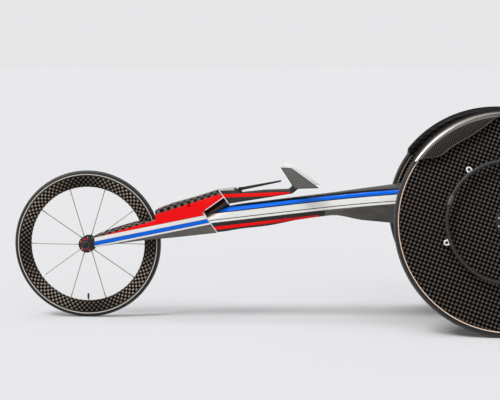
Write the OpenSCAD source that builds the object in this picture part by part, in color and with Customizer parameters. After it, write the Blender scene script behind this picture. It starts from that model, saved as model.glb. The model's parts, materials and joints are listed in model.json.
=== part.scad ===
// Racing wheelchair: a long carbon beam with a kneeling cockpit, two cambered
// disc wheels with push rims, and one spoked front wheel in an inclined fork.
// Millimetres. +Z is up, -X is the front, -Y is the rider's left.
// The origin is on the ground, under the middle of the length.

/* [Wheels] */
// Distance from the front axle to the rear axle
wheelbase = 1280; // [1200:5:1360]
// Outer diameter of the front tyre
front_tyre_d = 460; // [440:2:480]
// Outer diameter of the rear tyres
rear_tyre_d = 668; // [650:2:690]
// Section diameter of every tyre
tyre_w = 23; // [21:0.5:25]
// Width of every rim at its braking flanks
rim_w = 21; // [19:0.5:22]
// Depth of the front rim
front_rim_depth = 40; // [30:1:50]
// Depth of the rim band inside a disc wheel
disc_rim_depth = 18; // [14:1:24]
// Thickness of a disc wheel's skins
disc_skin_t = 2; // [1.5:0.1:3]
// Inward lean of the rear wheels, in degrees
camber = 14; // [12:0.5:15]
// Distance from the cockpit's side out to a rear wheel's centre
hub_out = 87; // [82:1:95]

/* [Front hub] */
// Number of spokes, shared by the two flanges
spoke_count = 10; // [8:2:20]
// Diameter of a spoke
spoke_d = 2.4; // [2:0.1:3]
// Length of the front hub between the fork ends
front_hub_w = 73; // [68:1:78]
// Diameter of the front hub flanges
front_flange_d = 52; // [46:1:58]
// Diameter of the front axle
front_axle_d = 12; // [10:0.5:13]
// Outer diameter of the front hub bearings
front_bearing_d = 24; // [21:0.5:25]
// Width of each wheel bearing
bearing_w = 8; // [6:0.5:9]

/* [Rear hubs] */
// Width of a rear hub between its end faces
rear_hub_w = 78; // [74:1:82]
// Diameter of the clamping flanges of a rear hub
rear_flange_d = 78; // [70:1:86]
// Diameter of the barrel that carries the disc
rear_barrel_d = 64; // [58:1:66]
// Width over the two skins of the disc at its hub
disc_hub_w = 50; // [44:1:54]
// Diameter of the quick-release axles
rear_axle_d = 12.7; // [11:0.1:14]
// Outer diameter of the rear hub bearings
rear_bearing_d = 28; // [25:0.5:30]
// Diameter of a quick-release axle's head
axle_head_d = 20; // [18:0.5:24]
// Length of a quick-release axle's head
axle_head_l = 7; // [6:0.5:10]
// Diameter of the release button
button_d = 7; // [6:0.5:9]
// How far the release button stands out
button_out = 4; // [3.5:0.5:6]
// Depth of the bore that the release button slides in
button_bore_l = 16; // [14:1:24]

/* [Push rims] */
// Diameter of a push rim, along the middle of its tube
push_rim_d = 360; // [344:2:372]
// Diameter of the push rim's rubber-covered tube
push_tube_d = 12.5; // [11:0.5:14]
// Distance of the push rim from the wheel's middle plane
push_rim_out = 40; // [38:1:46]
// Number of posts that carry a push rim
post_count = 5; // [4:1:6]
// Diameter of a post
post_d = 10; // [8:0.5:11]
// Diameter of the foot under each post
post_foot_d = 15; // [14:0.5:18]
// Distance from the tube's middle out to a post
post_reach = 12; // [11:0.5:14]
// Thickness of the tab on each post
tab_t = 4; // [3:0.5:5]
// Diameter of the heads of the post bolts
post_bolt_d = 9; // [8:0.5:10]
// Angle of the first post, from the rear, in degrees
post_start = 127; // [110:1:140]

/* [Steering] */
// Slope of the steering axis above level, in degrees
steer_angle = 35.5; // [34:0.5:37]
// Distance from the front tyre back to the head tube's middle, along the ground
head_back = 177; // [170:1:185]
// Height of the head tube's middle over the front axle
head_rise = 112; // [106:1:118]
// Outer diameter of the head tube
head_tube_d = 34; // [32:0.5:36]
// Length of the head tube
head_tube_l = 76; // [70:1:80]
// Bore of the head tube
head_bore_d = 26; // [24:0.5:28]
// Diameter of the steering shaft
steerer_d = 19; // [17:0.5:20]
// How far the shaft reaches into the crown and the stem
steerer_grip = 24; // [20:1:28]
// Length of each head bearing
head_bearing_l = 8; // [6:0.5:10]
// Length of the rubber sleeve that centres the steering
centring_l = 36; // [28:1:40]
// Gap between the turning and the fixed parts of the head
seam_gap = 3; // [2.5:0.25:4]

/* [Fork] */
// Width over the fork crown
fork_w = 90; // [86:1:96]
// Distance from the front tyre back to the crown's front face
crown_back = 32; // [28:1:40]
// Gap between the front tyre and the hood over it
hood_gap = 3.5; // [3:0.25:6]
// Thickness of a blade at the axle
blade_t = 9; // [8:0.5:11]
// Thickness of a blade at the crown
blade_root_t = 19; // [17:0.5:21]
// Diameter of the accessory bore across the crown
accessory_bore_d = 6; // [4:0.5:8]
// Across the flats of the front axle nuts
axle_nut_d = 18; // [16:0.5:20]
// Thickness of the front axle nuts
axle_nut_t = 6; // [5:0.5:8]

/* [Handlebar and brake] */
// Length of the handlebar behind the head tube's middle
bar_l = 234; // [225:1:245]
// Height of the handlebar over the head tube's middle
bar_h = 62; // [58:1:68]
// Width of the handlebar at its front
bar_front_w = 44; // [38:1:46]
// Width of the handlebar at its rear
bar_rear_w = 60; // [52:1:68]
// Distance between the two grip fins
grip_spacing = 156; // [140:2:170]
// Thickness of a grip fin
grip_t = 13; // [10:0.5:16]
// Length of a grip fin
grip_l = 118; // [112:1:124]
// Height of a grip fin
grip_h = 66; // [60:1:70]
// Diameter of the cross tube that carries the fins
cross_tube_d = 14; // [12:0.5:16]
// Length of the brake lever from its pivot
lever_l = 128; // [118:1:136]
// Width of the brake lever
lever_w = 10; // [8:0.5:12]
// Diameter of the lever pin and of the brake arm pins
pin_d = 5; // [4:0.5:6]
// Gap between a brake pad and the rim
pad_gap = 1.5; // [1.3:0.1:2]
// Thickness of a brake pad
pad_t = 4; // [3:0.5:5]
// Thickness of a brake arm
arm_t = 5; // [4:0.5:6]

/* [Body] */
// Width of the beam behind the head
beam_w = 72; // [66:1:76]
// Height of the beam at its waist
beam_h = 66; // [62:1:70]
// Rise of the beam's top from the head tube's middle to its waist
beam_rise = 50; // [46:1:54]
// Height of the body's top over the cross tube, where the beam meets the cockpit
joint_rise = 118; // [112:1:125]
// Wall of the beam and the cockpit
shell_t = 5; // [4:0.5:6]
// Width of the cockpit
tub_w = 336; // [326:1:342]
// Distance from the cockpit's front forward of the rear axle
tub_reach = 270; // [260:1:280]
// Length of the cockpit
tub_l = 430; // [420:1:450]
// Height of the cockpit's top edge over the cross tube
tub_rise = 192; // [186:1:198]
// Depth of the cockpit's underside below the cross tube
tub_drop = 78; // [70:1:86]

/* [Rear axle] */
// Outer diameter of the cross tube
axle_tube_d = 36; // [34:0.5:40]
// Bore of the cross tube
axle_tube_bore_d = 30; // [28:0.5:31]
// Diameter of the camber plugs' flanges
plug_flange_d = 64; // [62:1:70]
// Thickness of the camber plugs' flanges
plug_flange_t = 5; // [4:0.5:7]
// Diameter of the camber plugs' bosses
plug_boss_d = 32; // [28:0.5:34]
// Length of the spigot that enters the cross tube
plug_spigot_l = 40; // [34:1:50]
// Diameter of the shank of every body bolt
bolt_d = 5; // [4:0.5:6]
// Diameter of the head of every body bolt
bolt_head_d = 8.5; // [7.5:0.5:9.5]
// Height of the head of every body bolt
bolt_head_h = 4; // [3:0.5:5]

/* [Seat] */
// Height of the seat board's top over the cross tube
seat_rise = 55; // [50:1:62]
// Thickness of the seat board
seat_board_t = 6; // [5:0.5:8]
// Depth of the seat board, front to back
seat_l = 150; // [140:1:156]
// Thickness of the seat cushion
cushion_t = 36; // [30:1:42]
// Thickness of the back pad
back_pad_t = 26; // [22:1:30]
// Height of the back pad
back_pad_h = 92; // [84:1:100]
// Width of the back pad
back_pad_w = 180; // [160:2:190]
// Thickness of the knee pad
knee_pad_t = 34; // [28:1:38]
// Length of the knee pad
knee_pad_l = 150; // [140:1:160]
// Width of the knee pad
knee_pad_w = 240; // [220:2:250]

/* [Fenders] */
// Gap between the tyre and the fender's roof
fender_gap = 5; // [4:0.5:8]
// Thickness of a fender's sheet
fender_t = 3; // [2.5:0.25:4]
// Distance of the outer leaf from the wheel's middle plane
leaf_out = 26; // [24:0.5:30]
// Distance of the inner panel from the wheel's middle plane
panel_in = 27; // [25:0.5:29]
// Height of the panel's lower edge over the hub, along the wheel
panel_low = 132; // [124:1:138]
// Width of the outer leaf at its middle
leaf_w = 50; // [44:1:56]
// Diameter of the spacers between a fender and the cockpit
spacer_d = 16; // [14:0.5:18]
// Bore of those spacers
spacer_bore_d = 7; // [6.5:0.25:9]

/* [Hidden] */
$fn = 72;

// Clearances and overruns
overrun = 2;
run_fit = 0.05;
slip_fit = 0.3;
core_gap = 2;

// Places of the wheels
tyre_r = tyre_w / 2;
front_r = front_tyre_d / 2;
rear_r = rear_tyre_d / 2;
front_bead_r = front_r - tyre_r;
rear_bead_r = rear_r - tyre_r;
overall_l = front_r + wheelbase + rear_r;
front_x = front_r - overall_l / 2;
rear_x = front_x + wheelbase;
rear_z = rear_bead_r * cos(camber) + tyre_r;

// Steering frame
head_reach = front_r + head_back;
blade_l = front_r + crown_back;
head_x = front_x + head_reach;
head_z = front_r + head_rise;
seam_l = head_tube_l / 2 + seam_gap;

// Cockpit and rear axle
tub_x = rear_x - tub_reach;
tub_y = tub_w / 2;
hub_y = tub_y + hub_out;
axle_tube_z = rear_z - hub_out * tan(camber);
plug_s = -hub_out / cos(camber);
hub_end = rear_hub_w / 2;
joint_top_z = axle_tube_z + joint_rise;
tub_top_z = axle_tube_z + tub_rise;
tub_floor_z = axle_tube_z - tub_drop;
seat_z = axle_tube_z + seat_rise;

// Loft through rings of points, all with the same count, from -X to +X
module loft(rings) {
  n = len(rings[0]);
  m = len(rings);
  sides = [for (i = [0:m - 2], j = [0:n - 1])
    let (a = i * n + j, b = i * n + (j + 1) % n)
    each [[a, b, b + n], [a, b + n, a + n]]];
  first = [for (j = [0:n - 1]) n - 1 - j];
  last = [for (j = [0:n - 1]) (m - 1) * n + j];
  polyhedron(points = [for (r = rings) each r], faces = concat(sides, [first, last]));
}

// Ring of eight points across the body: roof, shoulders, flanks and floor
function body_ring(x, top, shoulder, flank, floor_z, w_top, w, w_floor) = [
  [x, w_top, top], [x, w, shoulder], [x, w, flank], [x, w_floor, floor_z],
  [x, -w_floor, floor_z], [x, -w, flank], [x, -w, shoulder], [x, -w_top, top]];

// Straight round rod between two points
module rod(a, b, d) {
  v = b - a;
  translate(a) rotate([0, acos(v.z / norm(v)), atan2(v.y, v.x)]) cylinder(d = d, h = norm(v));
}

// Round bar across the body, centred on a point
module cross_bar(p, d, l) {
  translate(p) rotate([90, 0, 0]) cylinder(d = d, h = l, center = true);
}

// Upright plate of a side outline, centred on y
module side_plate(points, y, t) {
  translate([0, y + t / 2, 0]) rotate([90, 0, 0]) linear_extrude(t) polygon(points);
}

// Level prism of a plan outline
module plan_prism(points, low, high) {
  translate([0, 0, low]) linear_extrude(high - low) polygon(points);
}

// Frame whose Z runs up along the steering axis from the head tube's middle
module on_steering() {
  translate([head_x, 0, head_z]) rotate([0, 90 - steer_angle, 0]) children();
}

// Everything of the steering frame below or above a height on the axis
module steer_half(from, up) {
  on_steering() translate([-overall_l / 2, -overall_l / 2, up ? from : from - overall_l])
    cube(overall_l);
}

// Frame of the front wheel: Z along the axle, X to the rear
module on_front_axle() {
  translate([front_x, 0, front_r]) rotate([90, 0, 0]) children();
}

// Frame of a rear wheel: X to the rear, Y up along the wheel, Z outward
module on_rear_axle(side) {
  if (side == "left") {
    translate([rear_x, -hub_y, rear_z]) rotate([90 - camber, 0, 0]) children();
  } else {
    mirror([0, 1, 0]) on_rear_axle("left") children();
  }
}

// Both signs across the middle
module both_sides() {
  children();
  mirror([0, 1, 0]) children();
}

module ring(outer_d, inner_d, low, high) {
  translate([0, 0, low]) difference() {
    cylinder(d = outer_d, h = high - low);
    translate([0, 0, -overrun]) cylinder(d = inner_d, h = high - low + 2 * overrun);
  }
}

module torus(r, tube_d) {
  rotate_extrude() translate([r, 0]) circle(d = tube_d);
}

// Main beam stations, front to back: place along the beam, roof, and depths below it.
// The roof rises from the head to the waist, and from the waist to the cockpit.
beam_l = tub_x - head_x;
waist_z = head_z + beam_rise;
beam_x_shares = [-0.045, 0.075, 0.25, 0.43, 0.58, 0.75, 0.92, 1];
beam_front_top_shares = [-0.445, 0.203, 0.501, 0.779, 1];
beam_rear_top_shares = [0.446, 0.82, 1];
beam_shoulder_shares = [0.1, 0.24, 0.17, 0.12, 0.11, 0.11, 0.12, 0.12];
beam_flank_shares = [0.7, 1.04, 1, 0.9, 0.89, 0.74, 0.69, 0.65];
beam_floor_shares = [0.79, 1.14, 1.152, 1.045, 1.015, 1.417, 1.69, 1.871];
beam_flare_shares = [0, 0, 0, 0.01, 0.05, 0.22, 0.55, 0.72];
beam_roof_w_shares = [0.5, 0.5, 0.52, 0.58, 0.66, 0.8, 0.9, 0.94];
beam_floor_w_shares = [0.67, 0.67, 0.67, 0.67, 0.62, 0.46, 0.53, 0.6];

beam_waist = len(beam_front_top_shares);

function beam_top(i) = i < beam_waist
  ? head_z + beam_front_top_shares[i] * beam_rise
  : waist_z + beam_rear_top_shares[i - beam_waist] * (joint_top_z - waist_z);

function beam_ring(i, wall, x_extra) =
  let (top = beam_top(i))
  let (w = beam_w / 2 + beam_flare_shares[i] * (tub_w - beam_w) / 2)
  body_ring(head_x + beam_x_shares[i] * beam_l + x_extra, top - wall,
    top - beam_shoulder_shares[i] * beam_h - wall / 2, top - beam_flank_shares[i] * beam_h + wall / 2,
    top - beam_floor_shares[i] * beam_h + wall,
    beam_roof_w_shares[i] * w - wall / 2, w - wall, beam_floor_w_shares[i] * w - wall / 2);

beam_last = len(beam_x_shares) - 1;
beam_hollow_from = 2;

module main_beam() {
  color("white") difference() {
    loft([for (i = [0:beam_last]) beam_ring(i, 0, 0)]);
    loft(concat([for (i = [beam_hollow_from:beam_last]) beam_ring(i, shell_t, 0)],
      [beam_ring(beam_last, shell_t, overrun)]));
    steer_half(-head_tube_l / 2, false);
    on_steering() cylinder(d = head_tube_d, h = 2 * head_tube_l, center = true);
  }
}

// Cockpit stations, front to back; the first matches the beam's last
tub_x_shares = [0, 0.115, 0.255, 0.395, 0.815, 0.93, 1];
tub_top_shares = [0, 0.4, 0.73, 0.94, 1, 1, 0.9];
tub_floor_shares = [0, 0.3, 0.72, 1, 1, 0.75, 0.3];
tub_flank_shares = [0, 0.25, 0.62, 1, 1, 0.84, 0.5];
tub_w_shares = [0, 0.47, 0.88, 1, 1, 0.5, -0.4];
tub_floor_w_shares = [0.6, 0.667, 0.76, 0.8, 0.8, 0.77, 0.73];
tub_flank_rise = 30;
tub_lip_share = 0.97;

joint_w = beam_w / 2 + beam_flare_shares[beam_last] * (tub_w - beam_w) / 2;
joint_floor_z = joint_top_z - beam_floor_shares[beam_last] * beam_h;
joint_flank_z = joint_top_z - beam_flank_shares[beam_last] * beam_h;
joint_shoulder = beam_shoulder_shares[beam_last] * beam_h;
tub_last = len(tub_x_shares) - 1;

function tub_ring(i, wall, x_extra, lift) =
  let (w = joint_w + tub_w_shares[i] * (tub_y - joint_w))
  let (top = joint_top_z + tub_top_shares[i] * (tub_top_z - joint_top_z) + lift)
  let (lip_share = i == 0 ? beam_roof_w_shares[beam_last] : tub_lip_share)
  body_ring(tub_x + tub_x_shares[i] * tub_l + x_extra, top,
    top - joint_shoulder, joint_flank_z
      + tub_flank_shares[i] * (tub_floor_z + tub_flank_rise - joint_flank_z) + wall / 2,
    joint_floor_z + tub_floor_shares[i] * (tub_floor_z - joint_floor_z) + wall,
    lip_share * w - wall, w - wall, tub_floor_w_shares[i] * w - wall / 2);

module cockpit_tub() {
  color([0.2, 0.2, 0.2]) difference() {
    loft([for (i = [0:tub_last]) tub_ring(i, 0, 0, 0)]);
    loft(concat([tub_ring(0, shell_t, -overrun, tub_top_z - joint_top_z)],
      [for (i = [0:tub_last - 1]) tub_ring(i, shell_t, 0, tub_top_z - joint_top_z)],
      [tub_ring(tub_last, shell_t, -shell_t, tub_top_z - joint_top_z)]));
    cross_bar([rear_x, 0, axle_tube_z], axle_tube_bore_d, 2 * tub_w);
    both_sides() plug_bolt_places() cylinder(d = bolt_d, h = 4 * shell_t, center = true);
    both_sides() spacer_places() cylinder(d = bolt_d, h = 4 * shell_t, center = true);
  }
}

module head_tube() {
  color("dimgray") on_steering()
    ring(head_tube_d, head_bore_d, -head_tube_l / 2, head_tube_l / 2);
}

module head_bearings() {
  color("silver") on_steering() {
    ring(head_bore_d, steerer_d + 2 * run_fit, -head_tube_l / 2, head_bearing_l - head_tube_l / 2);
    ring(head_bore_d, steerer_d + 2 * run_fit, head_tube_l / 2 - head_bearing_l, head_tube_l / 2);
  }
}

module centring_sleeve() {
  color("black") on_steering()
    ring(head_bore_d, steerer_d + 2 * slip_fit, -centring_l / 2, centring_l / 2);
}

module axle_tube() {
  inner_l = tub_w - 2 * shell_t;
  color("gray") difference() {
    cross_bar([rear_x, 0, axle_tube_z], axle_tube_d, inner_l);
    cross_bar([rear_x, 0, axle_tube_z], axle_tube_bore_d, inner_l + 2 * overrun);
  }
}

// Bolt places on the left flange, with Z pointing outward
plug_bolt_count = 4;
plug_bolt_share = 0.8;

module plug_bolt_places() {
  for (k = [0:plug_bolt_count - 1]) {
    translate([rear_x, -tub_y, axle_tube_z]) rotate([90, 0, 0])
      rotate([0, 0, (k + 0.5) * 360 / plug_bolt_count])
        translate([plug_bolt_share * plug_flange_d / 2, 0, 0]) children();
  }
}

module camber_plug(side) {
  flip = side == "left" ? 0 : 1;
  color("silver") mirror([0, flip, 0]) difference() {
    union() {
      translate([rear_x, -tub_y, axle_tube_z]) rotate([90, 0, 0]) {
        cylinder(d = plug_flange_d, h = plug_flange_t);
        translate([0, 0, -plug_spigot_l])
          cylinder(d = axle_tube_bore_d, h = plug_spigot_l + plug_flange_t / 2);
      }
      intersection() {
        on_rear_axle("left") translate([0, 0, plug_s])
          cylinder(d = plug_boss_d, h = -plug_s - hub_end - slip_fit);
        translate([rear_x - tub_w, -hub_y - tub_w, 0])
          cube([2 * tub_w, tub_w + hub_out, tub_top_z]);
      }
    }
    on_rear_axle("left") translate([0, 0, plug_s - plug_spigot_l - overrun])
      cylinder(d = rear_axle_d, h = plug_spigot_l - plug_s);
    plug_bolt_places() cylinder(d = bolt_d, h = 4 * plug_flange_t, center = true);
  }
}

module camber_plug_left() { camber_plug("left"); }
module camber_plug_right() { camber_plug("right"); }

module bolt(shank_l) {
  translate([0, 0, -shank_l]) cylinder(d = bolt_d, h = shank_l + overrun);
  difference() {
    cylinder(d = bolt_head_d, h = bolt_head_h);
    translate([0, 0, bolt_head_h / 2]) cylinder(d = bolt_d, h = bolt_head_h, $fn = 6);
  }
}

module plug_bolts() {
  color("silver") both_sides() plug_bolt_places()
    translate([0, 0, plug_flange_t]) bolt(plug_flange_t + shell_t);
}

// Quick-release axle: pin, head, and the bore of its release button
module quick_axle(side) {
  pin_from = plug_s - plug_spigot_l / 2;
  color("silver") on_rear_axle(side) difference() {
    union() {
      translate([0, 0, pin_from]) cylinder(d = rear_axle_d, h = hub_end + slip_fit - pin_from);
      translate([0, 0, hub_end + slip_fit]) cylinder(d = axle_head_d, h = axle_head_l);
    }
    translate([0, 0, hub_end + slip_fit + axle_head_l - button_bore_l])
      cylinder(d = button_d, h = button_bore_l + overrun);
  }
}

module quick_axle_left() { quick_axle("left"); }
module quick_axle_right() { quick_axle("right"); }

// Release button, which slides inward inside the axle's head
button_in_share = 0.43;

module axle_button(side) {
  face = hub_end + slip_fit + axle_head_l;
  l = button_out + button_in_share * axle_head_l;
  color("crimson") on_rear_axle(side) translate([0, 0, face + button_out - l])
    cylinder(d = button_d - 2 * run_fit, h = l);
}

module axle_button_left() { axle_button("left"); }
module axle_button_right() { axle_button("right"); }

// Seat board across the cockpit, over the cross tube, up to where the walls draw in
seat_rear_station = 4;
seat_x = tub_x + tub_x_shares[seat_rear_station] * tub_l - seat_l;

module seat_board() {
  color("dimgray") translate([seat_x, -tub_y + shell_t, seat_z - seat_board_t])
    cube([seat_l, tub_w - 2 * shell_t, seat_board_t]);
}

// Crowned pad: length along X, width along Y, thickness along Z, standing on Z = 0
pad_ring_count = 12;
pad_point_count = 28;
pad_plan_power = 5;
pad_side_power = 0.55;
pad_edge_share = 0.985;
pad_drawn_share = 0.05;
pad_crown_share = 0.3;
pad_corner_share = 0.2;
pad_end_share = 0.65;

function sign_power(v, p) = sign(v) * pow(abs(v), p);

function pad_ring(u, l, w, t) =
  let (fade = pow(1 - pow(abs(u), pad_plan_power), 1 / pad_plan_power))
  let (half_w = w / 2 * (1 - pad_drawn_share * (1 - u * u)) * (1 - pad_corner_share * (1 - fade)))
  let (half_t = t / 2 * (1 - pad_crown_share * u * u) * (1 - pad_end_share * (1 - fade)))
  [for (j = [0:pad_point_count - 1])
    let (a = 90 - (j + 0.5) * 360 / pad_point_count)
    [u * l / 2, half_w * sign_power(cos(a), pad_side_power),
      t / 2 + half_t * sign_power(sin(a), pad_side_power)]];

module pad(l, w, t) {
  loft([for (i = [0:pad_ring_count])
    pad_ring(-pad_edge_share * cos(i * 180 / pad_ring_count), l, w, t)]);
}

cushion_w_share = 0.92;

module seat_cushion() {
  color("black") translate([seat_x + seat_l / 2, 0, seat_z])
    pad(seat_l, cushion_w_share * (tub_w - 2 * shell_t), cushion_t);
}

module back_pad() {
  color("black")
    translate([tub_x + tub_l - shell_t - slip_fit, 0, seat_z + cushion_t + back_pad_h / 2])
    rotate([0, -90, 0]) pad(back_pad_h, back_pad_w, back_pad_t);
}

knee_pad_x_share = 0.4;

module knee_pad() {
  color("black")
    translate([tub_x + knee_pad_x_share * tub_l + knee_pad_l / 2, 0, tub_floor_z + shell_t])
    pad(knee_pad_l, knee_pad_w, knee_pad_t);
}

// Fender, in the wheel's frame: roof over the tyre, inner panel and outer leaf.
// One turned trough holds all three, and prisms then trim their edges.
fender_r = rear_r + fender_gap;
trough_from = 30;
trough_to = 158;
roof_from = 60;
roof_to = 144;
leaf_from = 97;
leaf_to = 147;
crest_step = 4;
crest_drop_share = 0.54;
roof_flat_share = 0.2;
panel_rear_share = 0.55;
panel_front_share = 0.62;
leaf_angle_shares = [0, 0.16, 0.38, 0.72, 0.8, 0.94];
leaf_depth_shares = [0.32, 0.75, 1, 1, 0.85, 0.2];
crest_r = fender_r - crest_drop_share * leaf_out;
panel_in_r = panel_low - fender_gap;

function polar(r, a) = [r * cos(a), r * sin(a)];

// Prism over an outline in the wheel's plane, between two distances from it
module wheel_prism(points, low, high) {
  translate([0, 0, low]) linear_extrude(high - low) polygon(points);
}

module fender(side) {
  roof_y = roof_flat_share * leaf_out;
  panel_out = -panel_in - fender_t;
  clear_r = fender_r + fender_t + overrun;
  far = 2 * rear_r;
  low_y = panel_low;
  front_top = polar(clear_r, roof_to);
  rear_top = polar(clear_r, roof_from);
  leaf_face = leaf_out - fender_t / 2;
  color([0.28, 0.26, 0.24]) on_rear_axle(side) difference() {
    rotate([0, 0, trough_from]) rotate_extrude(angle = trough_to - trough_from) polygon([
      [panel_in_r, panel_out], [fender_r + fender_t, panel_out], [fender_r + fender_t, roof_y],
      [crest_r + fender_t, leaf_out + fender_t], [crest_r - leaf_w, leaf_out + fender_t],
      [crest_r - leaf_w, leaf_out], [crest_r, leaf_out], [fender_r, roof_y], [fender_r, -panel_in],
      [panel_in_r, -panel_in]]);
    wheel_prism([front_top, [-far, front_top.y], [-far, low_y - far], [0, low_y - far], [0, low_y],
      [-panel_front_share * rear_r, low_y]], panel_out - overrun, leaf_face);
    wheel_prism([rear_top, [panel_rear_share * rear_r, low_y], [0, low_y], [0, low_y - far],
      [far, low_y - far], [far, rear_top.y]], panel_out - overrun, leaf_face);
    wheel_prism([rear_top, [0, 0], [far, 0], [far, rear_top.y]], leaf_face - overrun, leaf_out + far);
    wheel_prism(concat([[0, 0]],
      [for (a = [roof_from - crest_step:crest_step:leaf_from]) polar(crest_r - fender_t, a)],
      [for (i = [0:len(leaf_angle_shares) - 1]) polar(crest_r - leaf_depth_shares[i] * leaf_w,
        leaf_from + leaf_angle_shares[i] * (leaf_to - leaf_from))],
      [polar(clear_r, leaf_to), polar(far, leaf_to), polar(far, trough_to + crest_step)]),
      leaf_face, leaf_out + far);
    fender_bolt_places() cylinder(d = bolt_d, h = 4 * fender_t, center = true);
  }
}

module fender_left() { fender("left"); }
module fender_right() { fender("right"); }

// Fender bolts: places in the wheel's frame, on the inner panel
fender_bolt_x_shares = [-0.36, -0.05, 0.26];
fender_bolt_rise = 20;

module fender_bolt_places() {
  for (share = fender_bolt_x_shares) {
    translate([share * rear_r, panel_low + fender_bolt_rise, -panel_in]) children();
  }
}

// The same places on the cockpit's left wall, with Z pointing outward
spacer_y = tub_y;
bolt_z = rear_z + (panel_low + fender_bolt_rise) * cos(camber) - (panel_in + fender_t) * sin(camber);

module spacer_places() {
  for (share = fender_bolt_x_shares) {
    translate([rear_x + share * rear_r, -spacer_y, bolt_z]) rotate([90, 0, 0]) children();
  }
}

// Spacers fill the wedge between the upright wall and the leaning panel
module fender_spacers() {
  reach = hub_y - tub_y;
  color("silver") both_sides() difference() {
    spacer_places() cylinder(d = spacer_d, h = reach);
    on_rear_axle("left") translate([-rear_r, -rear_r, -panel_in - fender_t])
      cube([2 * rear_r, 2 * rear_r, rear_r]);
    spacer_places() translate([0, 0, -overrun]) cylinder(d = spacer_bore_d, h = reach + 2 * overrun);
  }
}

module fender_bolts() {
  color("silver") both_sides() on_rear_axle("left") fender_bolt_places() bolt(fender_t + overrun);
}

// Fork crown: hood over the head tube, crown block ahead of it
hood_low_share = 0.768;
hood_front_z_share = 0.973;
hood_x_shares = [0.641, 0.833, 1.01];
hood_z_shares = [1.125, 1.321, 1.532];
crown_rear_share = 1.002;
crown_rear_z_share = 0.361;
crown_front_z_share = 0.214;
crown_narrow_share = 0.84;
accessory_x_share = 0.791;
accessory_z_share = 1.107;

function fork_point(x_share, z_share) = [front_x + x_share * head_reach, front_r + z_share * head_rise];

crown_face_x = front_x + blade_l;
hood_low_z = front_r + hood_low_share * head_rise;
hood_front_x = front_x + sqrt(pow(front_r + hood_gap, 2) - pow(hood_low_share * head_rise, 2));

function on_axis(along, up) = [
  head_x + along * cos(steer_angle) - up * sin(steer_angle),
  head_z + along * sin(steer_angle) + up * cos(steer_angle)];

module fork_crown() {
  hood_up = head_tube_d / 2 + seam_gap;
  half_w = fork_w / 2;
  narrow = crown_narrow_share * half_w;
  outline = concat(
    [[hood_front_x, hood_low_z], [hood_front_x, front_r + hood_front_z_share * head_rise]],
    [for (i = [0:len(hood_x_shares) - 1]) fork_point(hood_x_shares[i], hood_z_shares[i])],
    [on_axis(head_tube_l, 2 * hood_up), on_axis(head_tube_l, hood_up), on_axis(-seam_l, hood_up),
     on_axis(-seam_l, -2 * hood_up)],
    [fork_point(crown_rear_share, crown_rear_z_share),
     [crown_face_x, front_r + crown_front_z_share * head_rise], [crown_face_x, hood_low_z]]);
  color("red") difference() {
    intersection() {
      side_plate(outline, 0, 2 * fork_w);
      plan_prism([[front_x, half_w], [front_x, -half_w], [crown_face_x, -half_w],
        [head_x + head_tube_l, -narrow], [head_x + head_tube_l, narrow], [crown_face_x, half_w]],
        0, tub_top_z);
    }
    steer_half(head_tube_l / 2, true);
    difference() {
      steer_half(-seam_l, true);
      on_steering() translate([-hood_up - overall_l, -overall_l / 2, -overall_l / 2]) cube(overall_l);
    }
    on_steering() translate([0, 0, -seam_l - steerer_grip])
      cylinder(d = steerer_d, h = steerer_grip + overrun);
    cross_bar([front_x + accessory_x_share * head_reach, 0, front_r + accessory_z_share * head_rise],
      accessory_bore_d, 2 * fork_w);
    both_sides() brake_pin_place() translate([0, 0, -overrun])
      cylinder(d = pin_d, h = brake_pin_seat + overrun);
  }
}

// Fork blades, from the axle end back to the crown's front face
blade_x_shares = [-0.064, 0, 0.12, 0.615, 1];
blade_top_shares = [0.07, 0.125, 0.27, 0.634, 0.768];
blade_low_shares = [-0.07, -0.11, -0.054, 0.116, 0.214];
blade_in_shares = [0, 0, 0.06, 0.9, 1];
blade_thick_shares = [0, 0.05, 0.12, 0.9, 1];
blade_edge_share = 0.35;
blade_gap = 0.8;

function blade_ring(i) =
  let (x = front_x + blade_x_shares[i] * blade_l)
  let (top = front_r + blade_top_shares[i] * head_rise)
  let (low = front_r + blade_low_shares[i] * head_rise)
  let (t = blade_t + blade_thick_shares[i] * (blade_root_t - blade_t))
  let (end_in = front_hub_w / 2 + blade_gap)
  let (inner = end_in + blade_in_shares[i] * (fork_w / 2 - blade_root_t - end_in))
  let (edge = blade_edge_share * t)
  [[x, -inner, top], [x, -inner, low], [x, edge - inner - t, low], [x, -inner - t, low + edge],
   [x, -inner - t, top - edge], [x, edge - inner - t, top]];

module fork_blade(side) {
  flip = side == "left" ? 0 : 1;
  color("white") mirror([0, flip, 0]) difference() {
    loft([for (i = [0:len(blade_x_shares) - 1])
      [for (p = [len(blade_ring(i)) - 1:-1:0]) blade_ring(i)[p]]]);
    cross_bar([front_x, 0, front_r], front_axle_d, 2 * fork_w);
  }
}

module fork_blade_left() { fork_blade("left"); }
module fork_blade_right() { fork_blade("right"); }

module steerer() {
  l = 2 * (seam_l + steerer_grip);
  color("silver") on_steering() cylinder(d = steerer_d, h = l, center = true);
}

// Handlebar: a wedge behind the upper seam that carries the cross tube and the lever's ears
bar_x_shares = [-0.1, 0.2, 0.25, 0.31, 0.62, 0.95, 1.06, 1.15, 1.13, 1, 0.17, 0.1];
bar_z_shares = [0.93, 1.06, 1.05, 0.83, 0.95, 1, 1.45, 1.4, 1.2, 0.81, 0.29, 0.2];
cross_x_share = 1.1;
cross_z_share = 1.3;
lever_x_share = 0.305;
lever_z_share = 1.016;
lever_y_share = 0.3;
ear_t = 4;
ear_r = 5.5;

function bar_point(x_share, z_share) = [head_x + x_share * bar_l, head_z + z_share * bar_h];

cross_place = [head_x + cross_x_share * bar_l, 0, head_z + cross_z_share * bar_h];
lever_place = [head_x + lever_x_share * bar_l, -lever_y_share * bar_front_w,
  head_z + lever_z_share * bar_h];

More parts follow.
